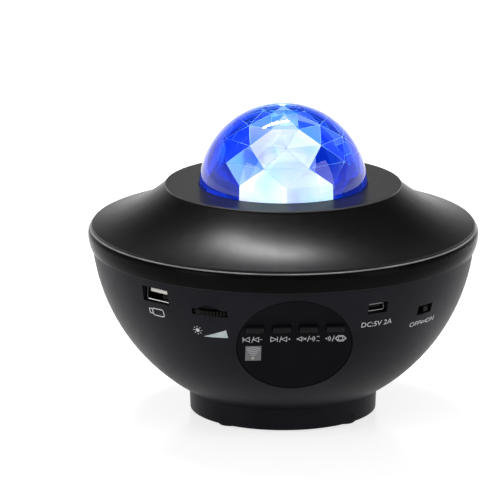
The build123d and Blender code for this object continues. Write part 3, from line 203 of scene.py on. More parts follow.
def coordinates(tree, kind):
    return tree.nodes.new("ShaderNodeTexCoord").outputs[kind]


def split_axes(tree, kind):
    """X, Y and Z of one kind of coordinates."""
    split = tree.nodes.new("ShaderNodeSeparateXYZ")
    tree.links.new(coordinates(tree, kind), split.inputs["Vector"])
    return split.outputs


def object_noise(tree, scale, detail, roughness=0.5, stretch=None):
    """Noise in the object's own coordinates; scale is in features per metre."""
    noise = add_node(tree, "ShaderNodeTexNoise", Scale=scale, Detail=detail, Roughness=roughness)
    source = coordinates(tree, "Object")
    if stretch:
        mapping = add_node(tree, "ShaderNodeMapping", Scale=stretch)
        tree.links.new(source, mapping.inputs["Vector"])
        source = mapping.outputs["Vector"]
    tree.links.new(source, noise.inputs["Vector"])
    return noise.outputs["Fac"]


def ramp(tree, source, stops):
    """Colour ramp with stops of (place, colour)."""
    node = tree.nodes.new("ShaderNodeValToRGB")
    elements = node.color_ramp.elements
    while len(elements) < len(stops):
        elements.new(0.5)
    for element, (place, color) in zip(elements, stops):
        element.position = place
        element.color = (*color, 1)
    tree.links.new(source, node.inputs["Fac"])
    return node.outputs["Color"]


def spread(tree, source, low, high):
    """Noise stretched to a range of values."""
    node = add_node(
        tree, "ShaderNodeMapRange", From_Min=NOISE_LOW, From_Max=NOISE_HIGH, To_Min=low,
        To_Max=high)
    tree.links.new(source, node.inputs["Value"])
    return node.outputs["Result"]


def arithmetic(tree, operation, *values):
    """Math node; each value is a number or another node's output."""
    node = tree.nodes.new("ShaderNodeMath")
    node.operation = operation
    for socket, value in zip(node.inputs, values):
        if isinstance(value, (int, float)):
            socket.default_value = value
        else:
            tree.links.new(value, socket)
    return node.outputs["Value"]


def bump(tree, shader, source, distance):
    node = add_node(tree, "ShaderNodeBump", Strength=1.0, Distance=distance)
    tree.links.new(source, node.inputs["Height"])
    tree.links.new(node.outputs["Normal"], shader.inputs["Normal"])


def shade(color, factor):
    return tuple(min(1.0, channel * factor) for channel in color)


def mottle(tree, shader, noise, color, tones):
    """Base colour in tones that follow a noise."""
    stops = [(place, shade(color, factor)) for place, factor in tones]
    tree.links.new(ramp(tree, noise, stops), shader.inputs["Base Color"])


def overlay(material, share, color):
    """Lays a colour over a material's own, by a share from 0 to 1."""
    tree, shader = principled(material)
    own = shader.inputs["Base Color"].links[0].from_socket
    blend = tree.nodes.new("ShaderNodeMix")
    blend.data_type = "RGBA"
    tree.links.new(share, blend.inputs["Factor"])
    tree.links.new(own, blend.inputs["A"])
    blend.inputs["B"].default_value = (*color, 1)
    tree.links.new(blend.outputs["Result"], shader.inputs["Base Color"])


# ================================================================ materials
def plastic(name, color, roughness, specular, grain, depth):
    """Moulded plastic: fine spark-eroded grain, faint mottling and uneven gloss."""
    material, tree, shader = new_material(name)
    shader.inputs["Specular IOR Level"].default_value = specular
    mottle(tree, shader, object_noise(tree, CLOUD_SCALE, 3), color, PLASTIC_TONES)
    gloss = object_noise(tree, GLOSS_SCALE, 4, 0.6)
    gloss = spread(tree, gloss, roughness - GLOSS_VARIES, roughness + GLOSS_VARIES)
    tree.links.new(gloss, shader.inputs["Roughness"])
    bump(tree, shader, object_noise(tree, grain, 2, 0.6), depth * MM)
    return material


def paint_edge_highlight(material, low, high, color):
    """Paints a highlight on a rounded edge between two heights: a paler band, uneven along it."""
    tree, _ = principled(material)
    height = split_axes(tree, "Object")["Z"]
    above = arithmetic(tree, "GREATER_THAN", height, low)
    below = arithmetic(tree, "LESS_THAN", height, high)
    uneven_highlight = spread(tree, object_noise(tree, EDGE_HIGHLIGHT_SCALE, 3), FAINTEST_EDGE_HIGHLIGHT, 1.0)
    between = arithmetic(tree, "MULTIPLY", above, below)
    overlay(material, arithmetic(tree, "MULTIPLY", between, uneven_highlight), color)


def dull_above(material, height, roughness):
    """Makes a piece rougher above a height."""
    tree, shader = principled(material)
    above = arithmetic(tree, "GREATER_THAN", split_axes(tree, "Object")["Z"], height)
    own = shader.inputs["Roughness"].links[0].from_socket
    added = arithmetic(tree, "MULTIPLY", above, roughness)
    tree.links.new(arithmetic(tree, "ADD", own, added), shader.inputs["Roughness"])


def paint_shade_inside(material, piece, rim, color):
    """Paints shade into a socket's shell behind its mouth, which looks away from the Z axis."""
    mouth = max(math.hypot(v.co.x, v.co.y) for v in piece.data.vertices)
    tree, _ = principled(material)
    axes = split_axes(tree, "Object")
    squares = [arithmetic(tree, "MULTIPLY", axes[axis], axes[axis]) for axis in "XY"]
    reach = arithmetic(tree, "SQRT", arithmetic(tree, "ADD", *squares))
    overlay(material, arithmetic(tree, "LESS_THAN", reach, mouth - rim), color)


def metal(name, color, roughness):
    """Metal with a fine brushed or turned grain."""
    material, tree, shader = new_material(name)
    shader.inputs["Metallic"].default_value = 1.0
    grain = object_noise(tree, 1, 4, 0.6, stretch=BRUSHING)
    mottle(tree, shader, grain, color, METAL_TONES)
    gloss = spread(tree, grain, roughness * (1 - METAL_VARIES), roughness * (1 + METAL_VARIES))
    tree.links.new(gloss, shader.inputs["Roughness"])
    bump(tree, shader, grain, BRUSHED_DEPTH)
    return material


def clear(name, tint, roughness=0.0):
    """Clear moulded plastic with a faint haze."""
    material, tree, shader = new_material(name)
    shader.inputs["Transmission Weight"].default_value = 1.0
    shader.inputs["IOR"].default_value = CLEAR_IOR
    shader.inputs["Roughness"].default_value = roughness
    mottle(tree, shader, object_noise(tree, HAZE_SCALE, 2), tint, CLEAR_TONES)
    return material


def facet_noise(tree, scale, drift, seed=0.0):
    """Noise that is even over a flat facet and changes from facet to facet, plus a faint drift."""
    hue = tree.nodes.new("ShaderNodeTexNoise")
    hue.noise_dimensions = "4D"
    for key, value in (("Scale", scale), ("Detail", 0.0), ("W", seed)):
        hue.inputs[key].default_value = value
    tree.links.new(coordinates(tree, "Normal"), hue.inputs["Vector"])
    drifting = spread(tree, object_noise(tree, DRIFT_SCALE, 0), -drift, drift)
    return arithmetic(tree, "ADD", hue.outputs["Fac"], drifting)


def seen_glow(tree, glow, held):
    """Strength of a glow that keeps a share of itself from the surfaces round it."""
    path = tree.nodes.new("ShaderNodeLightPath")
    return arithmetic(tree, "MULTIPLY_ADD", path.outputs["Is Diffuse Ray"], -held * glow, glow)


def lit_facets(name, stops, strength):
    """Lit lens: a painted glow for the LEDs' light through it, a colour of its own on every flat
    facet.
    """
    material, tree, shader = new_material(name)
    color = ramp(tree, facet_noise(tree, LENS_HUES, LENS_DRIFT), stops)
    tree.links.new(color, shader.inputs["Emission Color"])
    tree.links.new(color, shader.inputs["Base Color"])
    tree.links.new(seen_glow(tree, strength, LENS_HELD), shader.inputs["Emission Strength"])
    shader.inputs["Roughness"].default_value = LENS_ROUGHNESS
    return material


def beam_share(tree):
    """How much of the painted glow a flat facet gets, in beams round the dome: less near the dome's
    top.
    """
    facing = split_axes(tree, "Normal")
    azimuth = arithmetic(tree, "ARCTAN2", facing["Y"], facing["X"])
    turn = arithmetic(tree, "MULTIPLY", arithmetic(tree, "SUBTRACT", azimuth, BEAM_AZIMUTH), BEAMS)
    beam = arithmetic(tree, "COSINE", turn)
    steep = arithmetic(tree, "ABSOLUTE", facing["Z"])
    high = arithmetic(tree, "MAXIMUM", arithmetic(tree, "SUBTRACT", steep, BEAM_TOP), 0.0)
    wide = arithmetic(tree, "MULTIPLY", arithmetic(tree, "SUBTRACT", beam, BEAM_EDGE), BEAM_GAIN)
    return arithmetic(tree, "SUBTRACT", wide, arithmetic(tree, "MULTIPLY", high, BEAM_FADE))


def cut_crystal(name, tint, stops, glow):
    """Clear crystal, deeper in colour where thick, with painted lamp light glowing on its inner
    facets.
    """
    material = clear(name, tint)
    tree, shader = principled(material)
    depth = add_node(
        tree, "ShaderNodeVolumeAbsorption", Color=(*ABSORBED, 1), Density=ABSORPTION)
    tree.links.new(depth.outputs["Volume"], tree.nodes["Material Output"].inputs["Volume"])

    reach = tree.nodes.new("ShaderNodeVectorMath")
    reach.operation = "DISTANCE"
    reach.inputs[1].default_value = DOME_MIDDLE
    tree.links.new(coordinates(tree, "Object"), reach.inputs[0])
    inside = arithmetic(tree, "LESS_THAN", reach.outputs["Value"], (DOME_R + FACET_R) / 2)
    strength = arithmetic(tree, "MULTIPLY", inside, seen_glow(tree, glow, CRYSTAL_HELD))
    tree.links.new(strength, shader.inputs["Emission Strength"])

    hue = facet_noise(tree, CRYSTAL_HUES, CRYSTAL_DRIFT, CRYSTAL_SEED)
    caught = arithmetic(tree, "ADD", beam_share(tree), spread(tree, hue, -CHANCE, CHANCE))
    color = ramp(tree, arithmetic(tree, "MULTIPLY_ADD", caught, 0.5, 0.5), stops)
    tinted = tree.nodes.new("ShaderNodeVectorMath")
    tinted.operation = "MULTIPLY"
    tree.links.new(color, tinted.inputs[0])
    tree.links.new(ramp(tree, object_noise(tree, HUE_SCALE, 1), HUE_STOPS), tinted.inputs[1])
    tree.links.new(tinted.outputs["Vector"], shader.inputs["Emission Color"])
    return material


def circuit(name, color):
    """Solder mask over copper tracks."""
    material, tree, shader = new_material(name)
    tracks = add_node(tree, "ShaderNodeTexBrick", Scale=TRACK_SCALE, Mortar_Size=TRACK_WIDTH)
    tree.links.new(coordinates(tree, "Object"), tracks.inputs["Vector"])
    for key, factor in TRACK_TONES:
        tracks.inputs[key].default_value = (*shade(color, factor), 1)
    tree.links.new(tracks.outputs["Color"], shader.inputs["Base Color"])
    shader.inputs["Roughness"].default_value = MASK_ROUGHNESS
    bump(tree, shader, object_noise(tree, MASK_SCALE, 2), MASK_DEPTH)
    return material


def ink(name, color):
    """Screen-printed ink with slightly uneven cover."""
    material, tree, shader = new_material(name)
    mottle(tree, shader, object_noise(tree, INK_COVER_SCALE, 3), color, INK_TONES)
    shader.inputs["Roughness"].default_value = INK_ROUGHNESS
    shader.inputs["Specular IOR Level"].default_value = INK_SPECULAR
    bump(tree, shader, object_noise(tree, INK_GRAIN_SCALE, 2), INK_DEPTH)
    return material


def edge_light(name, stops, glow):
    """Painted glints on the softened edges of the facets, for lamp light caught here and there."""
    material, tree, shader = new_material(name)
    color = ramp(tree, object_noise(tree, EDGE_SCALE, 1), stops)
    tree.links.new(color, shader.inputs["Emission Color"])
    shader.inputs["Base Color"].default_value = (*EDGE_COLOR, 1)
    shader.inputs["Emission Strength"].default_value = glow
    shader.inputs["Roughness"].default_value = EDGE_ROUGHNESS
    return material


# Colours of the painted glow in a facet, from one that gets little of it to one that gets much.
CRYSTAL_STOPS = [
    (0.10, (0.0, 0.012, 0.10)),
    (0.36, (0.0, 0.03, 0.16)),
    (0.46, (0.05, 0.22, 0.26)),
    (0.58, (0.20, 0.26, 0.22)),
    (0.70, (0.50, 0.42, 0.25)),
    (0.80, (0.92, 0.64, 0.26)),
    (0.92, (1.3, 0.86, 0.28)),
]
# Tints over the crystal's painted glow, drifting across it.
HUE_STOPS = [
    (0.36, (0.72, 1.0, 1.0)),
    (0.47, (1.0, 1.0, 1.0)),
    (0.55, (1.0, 1.0, 1.0)),
    (0.64, (0.92, 0.80, 1.25)),
]
# Colours of the lens's painted glow, facet by facet.
LENS_STOPS = [
    (0.33, (0.40, 0.40, 0.17)),
    (0.38, (0.70, 0.52, 0.20)),
    (0.44, (1.0, 0.64, 0.24)),
    (0.55, (1.0, 0.64, 0.24)),
    (0.60, (0.62, 0.40, 0.18)),
    (0.66, (0.32, 0.26, 0.16)),
]
# Colours of the painted glints along the facet edges.
EDGE_STOPS = [
    (0.44, (0.02, 0.05, 0.12)),
    (0.56, (0.5, 0.62, 0.35)),
    (0.66, (1.0, 1.1, 0.5)),
]
MATERIALS = {
    # plastic: colour, roughness, specular level, grain per metre, its depth in millimetres
    "housing": plastic("housing_plastic", (0.0098, 0.0093, 0.0128), 0.40, 0.055, 1500, 0.016),
    "cover": plastic("cover_plastic", (0.0032, 0.0031, 0.0034), 0.32, 0.145, 1300, 0.009),
    "band": plastic("band_plastic", (0.003, 0.003, 0.0034), 0.20, 0.025, 1800, 0.008),
    "panel": plastic("panel_plastic", (0.0050, 0.0048, 0.0065), 0.50, 0.03, 2200, 0.01),
    "key": plastic("key_plastic", (0.0040, 0.0040, 0.0052), 0.24, 0.10, 2200, 0.006),
    "window": plastic("window_plastic", (0.21, 0.21, 0.22), 0.35, 0.4, 900, 0.01),
    "dark": plastic("dark_plastic", (0.0048, 0.0052, 0.0042), 0.38, 0.07, 1800, 0.01),
    "inner": plastic("inner_plastic", (0.80, 0.80, 0.79), 0.4, 0.4, 1200, 0.01),
    "pale": plastic("pale_plastic", (0.82, 0.80, 0.75), 0.35, 0.5, 1200, 0.01),
    "acetal": plastic("acetal_plastic", (0.72, 0.73, 0.72), 0.35, 0.5, 900, 0.008),
    "bright": plastic("reflector_plastic", (0.9, 0.9, 0.92), 0.2, 0.5, 900, 0.004),
    "rubber": plastic("pad_rubber", (0.02, 0.02, 0.02), 0.8, 0.2, 1400, 0.03),
    "ferrite": plastic("ferrite", (0.06, 0.06, 0.065), 0.6, 0.3, 600, 0.03),
    "paper": plastic("cone_paper", (0.03, 0.03, 0.034), 0.85, 0.1, 500, 0.05),
    # metal: colour and roughness
    "plated": metal("socket_plating", (0.72, 0.72, 0.72), 0.25),
    "dull": metal("inlet_plating", (0.16, 0.16, 0.16), 0.35),
    "steel": metal("screw_steel", (0.55, 0.55, 0.56), 0.35),
    "pressed": metal("pressed_steel", (0.5, 0.5, 0.51), 0.4),
    "aluminium": metal("sink_aluminium", (0.78, 0.78, 0.8), 0.35),
    "brass": metal("laser_brass", (0.72, 0.55, 0.25), 0.3),
    # clear, and painted glows
    "crystal": cut_crystal("crystal", (0.10, 0.19, 0.86), CRYSTAL_STOPS, CRYSTAL_GLOW),
    "edges": edge_light("edge_glint", EDGE_STOPS, EDGE_GLOW),
    "lit": lit_facets("lit_lens", LENS_STOPS, LENS_GLOW),
    "optic": clear("lens_optic", (0.75, 0.88, 1.0), 0.03),
    # boards and inks
    "board": circuit("solder_mask", (0.02, 0.14, 0.06)),
    "black board": circuit("black_mask", (0.006, 0.007, 0.006)),
    "ink": ink("white_ink", (0.66, 0.67, 0.70)),
    "pale ink": ink("pale_ink", (0.58, 0.66, 0.68)),
    "wave ink": ink("wave_ink", (0.52, 0.52, 0.53)),
    "dot ink": ink("dot_ink", (0.62, 0.62, 0.50)),
}
PAINTED_EDGE_HIGHLIGHTS = (                      # painted highlights on rounded edges: look, heights between which it is painted, colour
    ("band", BAND_TOP - 0.4 * MM, BAND_TOP + 0.1 * MM, (0.22, 0.22, 0.23)),
    ("band", BAND_FOOT - 0.1 * MM, BAND_FOOT + 0.35 * MM, (0.03, 0.03, 0.033)),
    ("cover", COLLAR_Z - 0.4 * MM, COLLAR_Z - 0.05 * MM, (0.09, 0.09, 0.09)),
)
for edge_look, edge_low, edge_high, edge_color in PAINTED_EDGE_HIGHLIGHTS:
    paint_edge_highlight(MATERIALS[edge_look], edge_low, edge_high, edge_color)
dull_above(MATERIALS["cover"], COLLAR_Z - 0.3 * MM, 0.1)
# painted shade, deeper inside the USB socket's shell
paint_shade_inside(MATERIALS["plated"], NODES["usb_socket_shell"], 0.5 * MM, (0.022, 0.014, 0.009))

NODE_LOOKS = {
    "housing": ("lower_bowl", "foot_base"),
    "cover": ("top_cover",),
    "band": ("rim_band",),
    "panel": ("control_panel",),
    "key": ("button_volume_down", "button_volume_up", "button_mute", "button_mode"),
    "window": ("ir_window",),
    "dark": (
        "dimmer_wheel", "switch_knob", "switch_housing", "dimmer_pot", "power_inlet_tongue",
        "ir_receiver",
    ),
    "inner": ("light_deck", "dome_clamp_ring"),
    "pale": ("usb_socket_tongue", "tact_switches"),
    "acetal": ("drive_pinion", "lens_carrier"),
    "bright": ("light_reflector", "leds"),
    "rubber": ("rubber_feet",),
    "ferrite": ("speaker_magnet",),
    "paper": ("speaker_cone",),
    "plated": ("usb_socket_shell",),
    "dull": ("power_inlet_shell",),
    "steel": (
        "dome_screws", "base_screws", "tie_screws", "speaker_screws", "main_board_screws",
        "button_board_screws", "port_board_screws", "deck_screws", "led_board_screws",
        "motor_screws", "motor_shaft",
    ),
    "pressed": ("speaker_frame", "drive_motor"),
    "aluminium": ("heat_sink",),
    "brass": ("laser_module",),
    "crystal": ("crystal_dome",),
    "lit": ("ripple_lens",),
    "optic": ("condenser_lens", "grating_film"),
    "board": ("main_board", "button_board", "left_port_board", "led_board"),
    "black board": ("right_port_board",),
}


def paint(piece, material):
    piece.data.materials.clear()
    piece.data.materials.append(material)


def dress_nodes():
    """Gives every CAD node its material."""
    for look, names in NODE_LOOKS.items():
        for name in names:
            paint(NODES[name], MATERIALS[look])


def piece_from(name, bm):
    """New piece of the scene, from a bmesh."""
    mesh = bpy.data.meshes.new(name)
    bm.to_mesh(mesh)
    bm.free()
    piece = bpy.data.objects.new(name, mesh)
    bpy.context.scene.collection.objects.link(piece)
    return piece


# ================================================================ surfaces that carry ink
def on_ball(azimuth, height):
    """Maps flat ink onto the ball: its middle at an azimuth and height, x to the right, y up."""
    angle = math.radians(azimuth)
    rise = height - BALL.z
    flat = math.sqrt(BALL_R ** 2 - rise ** 2)
    outward = Vector((flat * math.sin(angle), -flat * math.cos(angle), rise)) / BALL_R
    right = Vector((math.cos(angle), math.sin(angle), 0))
    up = outward.cross(right)

    def place(x, y, z):
        spot = (outward * BALL_R + right * x + up * y).normalized()
        return BALL + spot * (BALL_R + z)

    return place


def on_panel(x_mid, y_mid):
    """Maps flat ink onto the control panel."""
    def place(x, y, z):
        flat = PANEL_RIGHT * (x_mid + x) + PANEL_UP * (y_mid + y)
        return PANEL_MIDDLE + flat + PANEL_NORMAL * z

    return place


# ================================================================ flat shapes, in millimetres
def band_faces(bm, left, right, closed):
    """Faces between two rows of points."""
    a = [bm.verts.new((x, y, 0)) for x, y in left]
    b = [bm.verts.new((x, y, 0)) for x, y in right]
    count = len(a)
    for i in range(count if closed else count - 1):
        j = (i + 1) % count
        bm.faces.new((a[i], a[j], b[j], b[i]))


def stroke(bm, points, width, closed=False):
    """Line of even width with mitred corners."""
    count = len(points)
    left, right = [], []
    for i, (x, y) in enumerate(points):
        before = points[(i - 1) % count] if closed or i > 0 else None
        after = points[(i + 1) % count] if closed or i < count - 1 else None
        into = Vector((x - before[0], y - before[1])).normalized() if before else None
        out = Vector((after[0] - x, after[1] - y)).normalized() if after else None
        into = into or out
        out = out or into
        middle = (into + out).normalized()
        side = Vector((-middle.y, middle.x))
        reach = width / 2 / max(SHARPEST_MITRE, side.dot(Vector((-into.y, into.x))))
        left.append((x + side.x * reach, y + side.y * reach))
        right.append((x - side.x * reach, y - side.y * reach))
    band_faces(bm, left, right, closed)


def fill(bm, points):
    bm.faces.new([bm.verts.new((x, y, 0)) for x, y in points])


def arc(x, y, radius, start, end, steps):
    """Points of an arc, in degrees from +x."""
    angles = [math.radians(start + (end - start) * i / steps) for i in range(steps + 1)]
    return [(x + radius * math.cos(a), y + radius * math.sin(a)) for a in angles]


def disc(bm, x, y, radius):
    fill(bm, arc(x, y, radius, 0, 360 * (1 - 1 / DISC_STEPS), DISC_STEPS - 1))


def rounded(x, y, width, height, radius):
    """Outline of a rounded rectangle about its middle."""
    points = []
    for sx, sy, start in ((1, 1, 0), (-1, 1, 90), (-1, -1, 180), (1, -1, 270)):
        cx, cy = x + sx * (width / 2 - radius), y + sy * (height / 2 - radius)
        points += arc(cx, cy, radius, start, start + 90, CORNER_STEPS)
    return points


def triangle(bm, x, size, way):
    """Outlined triangle that points left (-1) or right (1), with its middle at (x, 0)."""
    tip, tail = x + way * size * 0.5, x - way * size * 0.4
    stroke(bm, [(tip, 0), (tail, size / 2), (tail, -size / 2)], ICON_LINE, closed=True)


def letters(bm, words, width, height):
    """Text scaled to a width and height about its middle."""
    curve = bpy.data.curves.new("letters", "FONT")
    curve.body = words
    curve.resolution_u = LETTER_STEPS
    holder = bpy.data.objects.new("letters", curve)
    bpy.context.scene.collection.objects.link(holder)
    bpy.context.view_layer.update()
    graph = bpy.context.evaluated_depsgraph_get()
    mesh = bpy.data.meshes.new_from_object(holder.evaluated_get(graph))
    bpy.data.objects.remove(holder)
    bpy.data.curves.remove(curve)
    xs = [v.co.x for v in mesh.vertices]
    ys = [v.co.y for v in mesh.vertices]
    middle = ((min(xs) + max(xs)) / 2, (min(ys) + max(ys)) / 2)
    scale = (width / (max(xs) - min(xs)), height / (max(ys) - min(ys)))
    for v in mesh.vertices:
        v.co = ((v.co.x - middle[0]) * scale[0], (v.co.y - middle[1]) * scale[1], 0)
    bm.from_mesh(mesh)
    bpy.data.meshes.remove(mesh)


# ================================================================ ink pieces
def cut_grid(bm):
    """Cuts ink on a grid so that it can follow the ball."""
    for axis in (0, 1):
        values = [v.co[axis] for v in bm.verts]
        low, high = min(values), max(values)
        steps = int((high - low) / INK_GRID)
        normal = Vector((1, 0, 0)) if axis == 0 else Vector((0, 1, 0))
        for step in range(1, steps + 1):
            at = normal * (low + (high - low) * step / (steps + 1))
            geom = list(bm.verts) + list(bm.edges) + list(bm.faces)
            bmesh.ops.bisect_plane(bm, geom=geom, plane_co=at, plane_no=normal)


def print_mark(name, draw, place, look, curved=False):
    """Draws a flat mark in millimetres and lays it on a surface as a thin layer of ink."""
    bm = bmesh.new()
    draw(bm)
    bmesh.ops.remove_doubles(bm, verts=bm.verts, dist=SAME_POINT_MM)
    bmesh.ops.scale(bm, vec=(MM, MM, MM), verts=bm.verts)
    if curved:
        cut_grid(bm)
    made = bmesh.ops.extrude_face_region(bm, geom=list(bm.faces))
    for v in bm.verts:
        v.co.z = INK_ABOVE
    for item in made["geom"]:
        if isinstance(item, bmesh.types.BMVert):
            item.co.z = -INK_BELOW
    for v in bm.verts:
        v.co = place(*v.co)
    bmesh.ops.recalc_face_normals(bm, faces=bm.faces)
    piece = piece_from(name, bm)
    paint(piece, MATERIALS[look])
    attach(piece, "housing")


# ================================================================ drawings: x right, y up, in mm
def draw_flash_drive(bm):
    stroke(bm, rounded(1.05, 0, 6.2, 3.3, 0.9), OUTLINE, closed=True)
    stroke(bm, rounded(-3.05, 0.1, 1.8, 2.2, 0.3), OUTLINE, closed=True)


def draw_sun(bm):
    disc(bm, 0, 0, 0.9)
    for step in range(8):
        angle = math.radians(45 * step)
        ray = [(r * math.cos(angle), r * math.sin(angle)) for r in (1.5, 2.1)]
        stroke(bm, ray, RAY_LINE)


def draw_wedge(bm):
    fill(bm, [(-5.6, -2.2), (5.6, -1.7), (5.25, 2.2)])


def draw_current(bm):
    letters(bm, "DC:5V 2A", 14.9, 2.4)


def draw_on_off(bm):
    letters(bm, "OFF   ON", 16.2, 2.3)
    stroke(bm, [(-1.3, 0.4), (2.4, 0.4)], ARROW_LINE)
    fill(bm, [(2.3, 0.05), (3.2, 0.4), (2.3, 0.95)])
    stroke(bm, [(-0.4, -0.4), (3.1, -0.4)], ARROW_LINE)
    fill(bm, [(-0.3, -0.95), (-1.3, -0.4), (-0.3, -0.05)])


def slash(bm, x):
    stroke(bm, [(x - 0.4, -1.6), (x + 0.4, 1.6)], ICON_LINE)


def signal(bm, x):
    """Dot with two arcs to its right."""
    disc(bm, x - 0.8, 0, 0.36)
    for radius in SIGNAL_RADII:
        bow = arc(x - 0.8, 0, radius, -SIGNAL_SPREAD, SIGNAL_SPREAD, SIGNAL_STEPS)
        stroke(bm, bow, ICON_LINE)


def draw_back_minus(bm):
    stroke(bm, [(-4.0, -1.4), (-4.0, 1.4)], ICON_LINE)
    triangle(bm, -2.35, 2.6, -1)
    slash(bm, 0.1)
    triangle(bm, 1.6, 2.5, -1)
    stroke(bm, [(3.25, 0), (4.1, 0)], ICON_LINE)


def draw_next_plus(bm):
    triangle(bm, -2.9, 2.6, 1)
    stroke(bm, [(-1.15, -1.4), (-1.15, 1.4)], ICON_LINE)
    slash(bm, 0.15)
    triangle(bm, 1.75, 2.5, -1)
    stroke(bm, [(3.4, 0), (4.3, 0)], ICON_LINE)
    stroke(bm, [(3.85, -0.45), (3.85, -0.15)], ICON_LINE)
    stroke(bm, [(3.85, 0.15), (3.85, 0.45)], ICON_LINE)


def draw_mute(bm):
    triangle(bm, -3.7, 2.3, -1)
    stroke(bm, [(-2.2, -0.65), (-0.9, 0.65)], ICON_LINE)
    stroke(bm, [(-2.2, 0.65), (-1.7, 0.15)], ICON_LINE)
    stroke(bm, [(-1.4, -0.15), (-0.9, -0.65)], ICON_LINE)
    slash(bm, 0.0)
    signal(bm, 1.7)
    stroke(bm, [(3.4, 1.2), (4.6, 1.2)], ICON_LINE)
    stroke(bm, [(3.4, -1.2), (4.6, -1.2)], ICON_LINE)


def draw_mode(bm):
    signal(bm, -3.3)
    slash(bm, -1.2)
    hexagon = [(0.9, 1.5), (2.9, 1.5), (4.1, 0), (2.9, -1.5), (0.9, -1.5), (-0.3, 0)]
    stroke(bm, hexagon, OUTLINE, closed=True)
    stroke(bm, rounded(1.9, 0, 1.9, 1.8, 0.3), INNER_OUTLINE, closed=True)


def draw_waves(bm):
    for radius in WAVE_RADII:
        wave = arc(0, WAVE_FOOT, radius, 90 - WAVE_SPREAD, 90 + WAVE_SPREAD, WAVE_STEPS)
        stroke(bm, wave, WAVE_LINE)


def draw_wave_dot(bm):
    disc(bm, -0.1, WAVE_FOOT, 0.62)


BALL_MARKS = (                      # name, drawing, azimuth in degrees, height in mm, look
    ("flash_drive_mark", draw_flash_drive, -46.3, 58.1, "ink"),
    ("sun_mark", draw_sun, -31.5, 53.1, "ink"),
    ("wedge_mark", draw_wedge, -25.6, 52.4, "pale ink"),
    ("current_mark", draw_current, 26.4, 55.9, "ink"),
    ("on_off_mark", draw_on_off, 46.2, 51.6, "ink"),
)
KEY_ICONS = (                       # name, drawing, place across the panel in mm
    ("icon_volume_down", draw_back_minus, -17.7),
    ("icon_volume_up", draw_next_plus, -6.1),
    ("icon_mute", draw_mute, 5.8),
    ("icon_mode", draw_mode, 17.4),
)


def make_marks():
    for name, draw, azimuth, height, look in BALL_MARKS:
        print_mark(name, draw, on_ball(azimuth, height * MM), look, curved=True)
    for name, draw, across in KEY_ICONS:
        print_mark(name, draw, on_panel(across * MM, ICON_ROW), "ink")
    low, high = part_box("ir_window")
    middle = (low + high) / 2 - PANEL_MIDDLE
    place = on_panel(middle.dot(PANEL_RIGHT), middle.dot(PANEL_UP))
    print_mark("wave_mark", draw_waves, place, "wave ink")
    print_mark("wave_dot_mark", draw_wave_dot, place, "dot ink")


# ================================================================ painted glints along the facet edges of the crystal
def painted_glint_edges():
    """Pairs of corners, in mm, between the flat facets inside the crystal dome, for painted glints.
    """
    mesh = NODES["crystal_dome"].data
    corners = {
        v.index for v in mesh.vertices
        if abs((v.co - DOME_MIDDLE).length - FACET_R) < CORNER_SLACK
    }
    pairs = set()
    for edge in mesh.edges:
        if edge.vertices[0] in corners and edge.vertices[1] in corners:
            ends = (mesh.vertices[i].co for i in edge.vertices)
            pairs.add(tuple(sorted(tuple(round(c / MM, 3) for c in end) for end in ends)))
    above = min(corner[2] for pair in pairs for corner in pair) + RING_RISE_MM
    return sorted(pair for pair in pairs if max(corner[2] for corner in pair) > above)


def make_painted_glint_edges():
    """Thin glowing tubes along the edges of the facets: painted glints."""
    bm = bmesh.new()
    for a, b in painted_glint_edges():
        start, end = Vector(a) * MM, Vector(b) * MM
        along = end - start
        made = bmesh.ops.create_cone(
            bm, segments=EDGE_SIDES, radius1=EDGE_R, radius2=EDGE_R, depth=along.length,
            cap_ends=False)
        turn = along.normalized().to_track_quat("Z", "Y").to_matrix().to_4x4()
        placed = Matrix.Translation((start + end) / 2) @ turn
        bmesh.ops.transform(bm, matrix=placed, verts=made["verts"])
    piece = piece_from("painted_glint_edges", bm)
    piece.data.shade_smooth()
    paint(piece, MATERIALS["edges"])
    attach(piece, "housing")


# ================================================================ stage
def seen_rays(tree):
    """1 for camera, glossy and transmission rays, else 0."""
    path = tree.nodes.new("ShaderNodeLightPath")
    seen = path.outputs["Is Camera Ray"]
    for name in ("Is Glossy Ray", "Is Transmission Ray"):
        seen = arithmetic(tree, "MAXIMUM", seen, path.outputs[name])
    return seen


def make_world():
    """White studio with a dimmer ceiling, where it is seen, and an even soft light."""
    world = bpy.data.worlds.new("studio")
    bpy.context.scene.world = world
    world.use_nodes = True
    tree = world.node_tree
    tree.nodes.clear()
    output = tree.nodes.new("ShaderNodeOutputWorld")
    seen = add_node(tree, "ShaderNodeBackground", Strength=1.0)
    wall = [(WALL_TOP, (1, 1, 1)), (CEILING, (CEILING_SHADE,) * 3)]
    rise = split_axes(tree, "Generated")["Z"]
    tree.links.new(ramp(tree, rise, wall), seen.inputs["Color"])
    lit = add_node(tree, "ShaderNodeBackground", Color=(1, 1, 1, 1), Strength=SOFT_LIGHT)
    mix = tree.nodes.new("ShaderNodeMixShader")
    tree.links.new(seen_rays(tree), mix.inputs["Fac"])
    tree.links.new(lit.outputs["Background"], mix.inputs[1])
    tree.links.new(seen.outputs["Background"], mix.inputs[2])
    tree.links.new(mix.outputs["Shader"], output.inputs["Surface"])


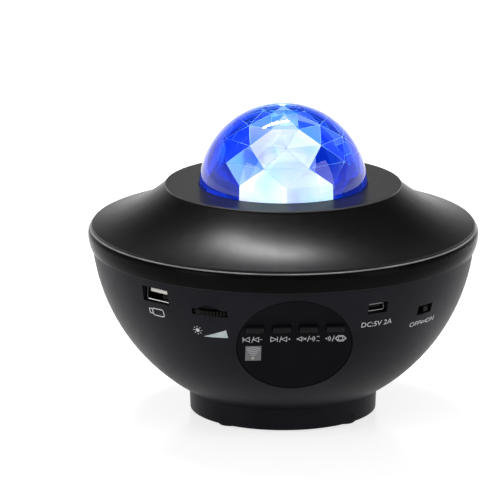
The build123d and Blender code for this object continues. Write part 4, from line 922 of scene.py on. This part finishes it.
def make_floor():
    bm = bmesh.new()
    bmesh.ops.create_grid(bm, x_segments=FLOOR_CELLS, y_segments=FLOOR_CELLS, size=FLOOR_HALF)
    floor = piece_from("floor", bm)
    material, tree, shader = new_material("floor")
    shader.inputs["Base Color"].default_value = (FLOOR_GREY, FLOOR_GREY, FLOOR_GREY, 1)
    shader.inputs["Roughness"].default_value = FLOOR_ROUGHNESS
    shader.inputs["Specular IOR Level"].default_value = FLOOR_SPECULAR
    shader.inputs["Emission Color"].default_value = (1, 1, 1, 1)
    glow = arithmetic(tree, "MULTIPLY", seen_rays(tree), FLOOR_GLOW)
    tree.links.new(glow, shader.inputs["Emission Strength"])
    paint(floor, material)


def make_lamps():
    for name, place, aim, size, watts in LAMPS:
        light = bpy.data.lights.new(name, "AREA")
        light.shape = "RECTANGLE"
        light.size, light.size_y = size
        light.energy = watts
        lamp = bpy.data.objects.new(name, light)
        bpy.context.scene.collection.objects.link(lamp)
        place = Vector(place)
        turn = (place - Vector(aim)).to_track_quat("Z", "Y").to_matrix().to_4x4()
        lamp.matrix_world = Matrix.Translation(place) @ turn


def make_camera():
    """Camera that puts the bowl's ball where the photograph has it."""
    back = Vector((
        math.sin(VIEW_AZIMUTH) * math.cos(VIEW_ELEVATION),
        -math.cos(VIEW_AZIMUTH) * math.cos(VIEW_ELEVATION),
        math.sin(VIEW_ELEVATION),
    ))
    right = Vector((math.cos(VIEW_AZIMUTH), math.sin(VIEW_AZIMUTH), 0))
    up = back.cross(right)
    middle = FRAME_PIXELS / 2
    aim = BALL - right * (BALL_PIXEL[0] - middle) / PIXELS_PER_METRE
    aim -= up * (middle - BALL_PIXEL[1]) / PIXELS_PER_METRE
    data = bpy.data.cameras.new("camera")
    data.sensor_width = SENSOR_MM
    data.lens = SENSOR_MM * VIEW_DISTANCE * PIXELS_PER_METRE / FRAME_PIXELS
    data.clip_end = FARTHEST
    camera = bpy.data.objects.new("camera", data)
    bpy.context.scene.collection.objects.link(camera)
    turn = Matrix((right, up, back)).transposed().to_4x4()
    camera.matrix_world = Matrix.Translation(aim + back * VIEW_DISTANCE) @ turn
    bpy.context.scene.camera = camera


bpy.context.scene.view_settings.view_transform = "Standard"
dress_nodes()
make_marks()
make_painted_glint_edges()
make_world()
make_floor()
make_lamps()
make_camera()
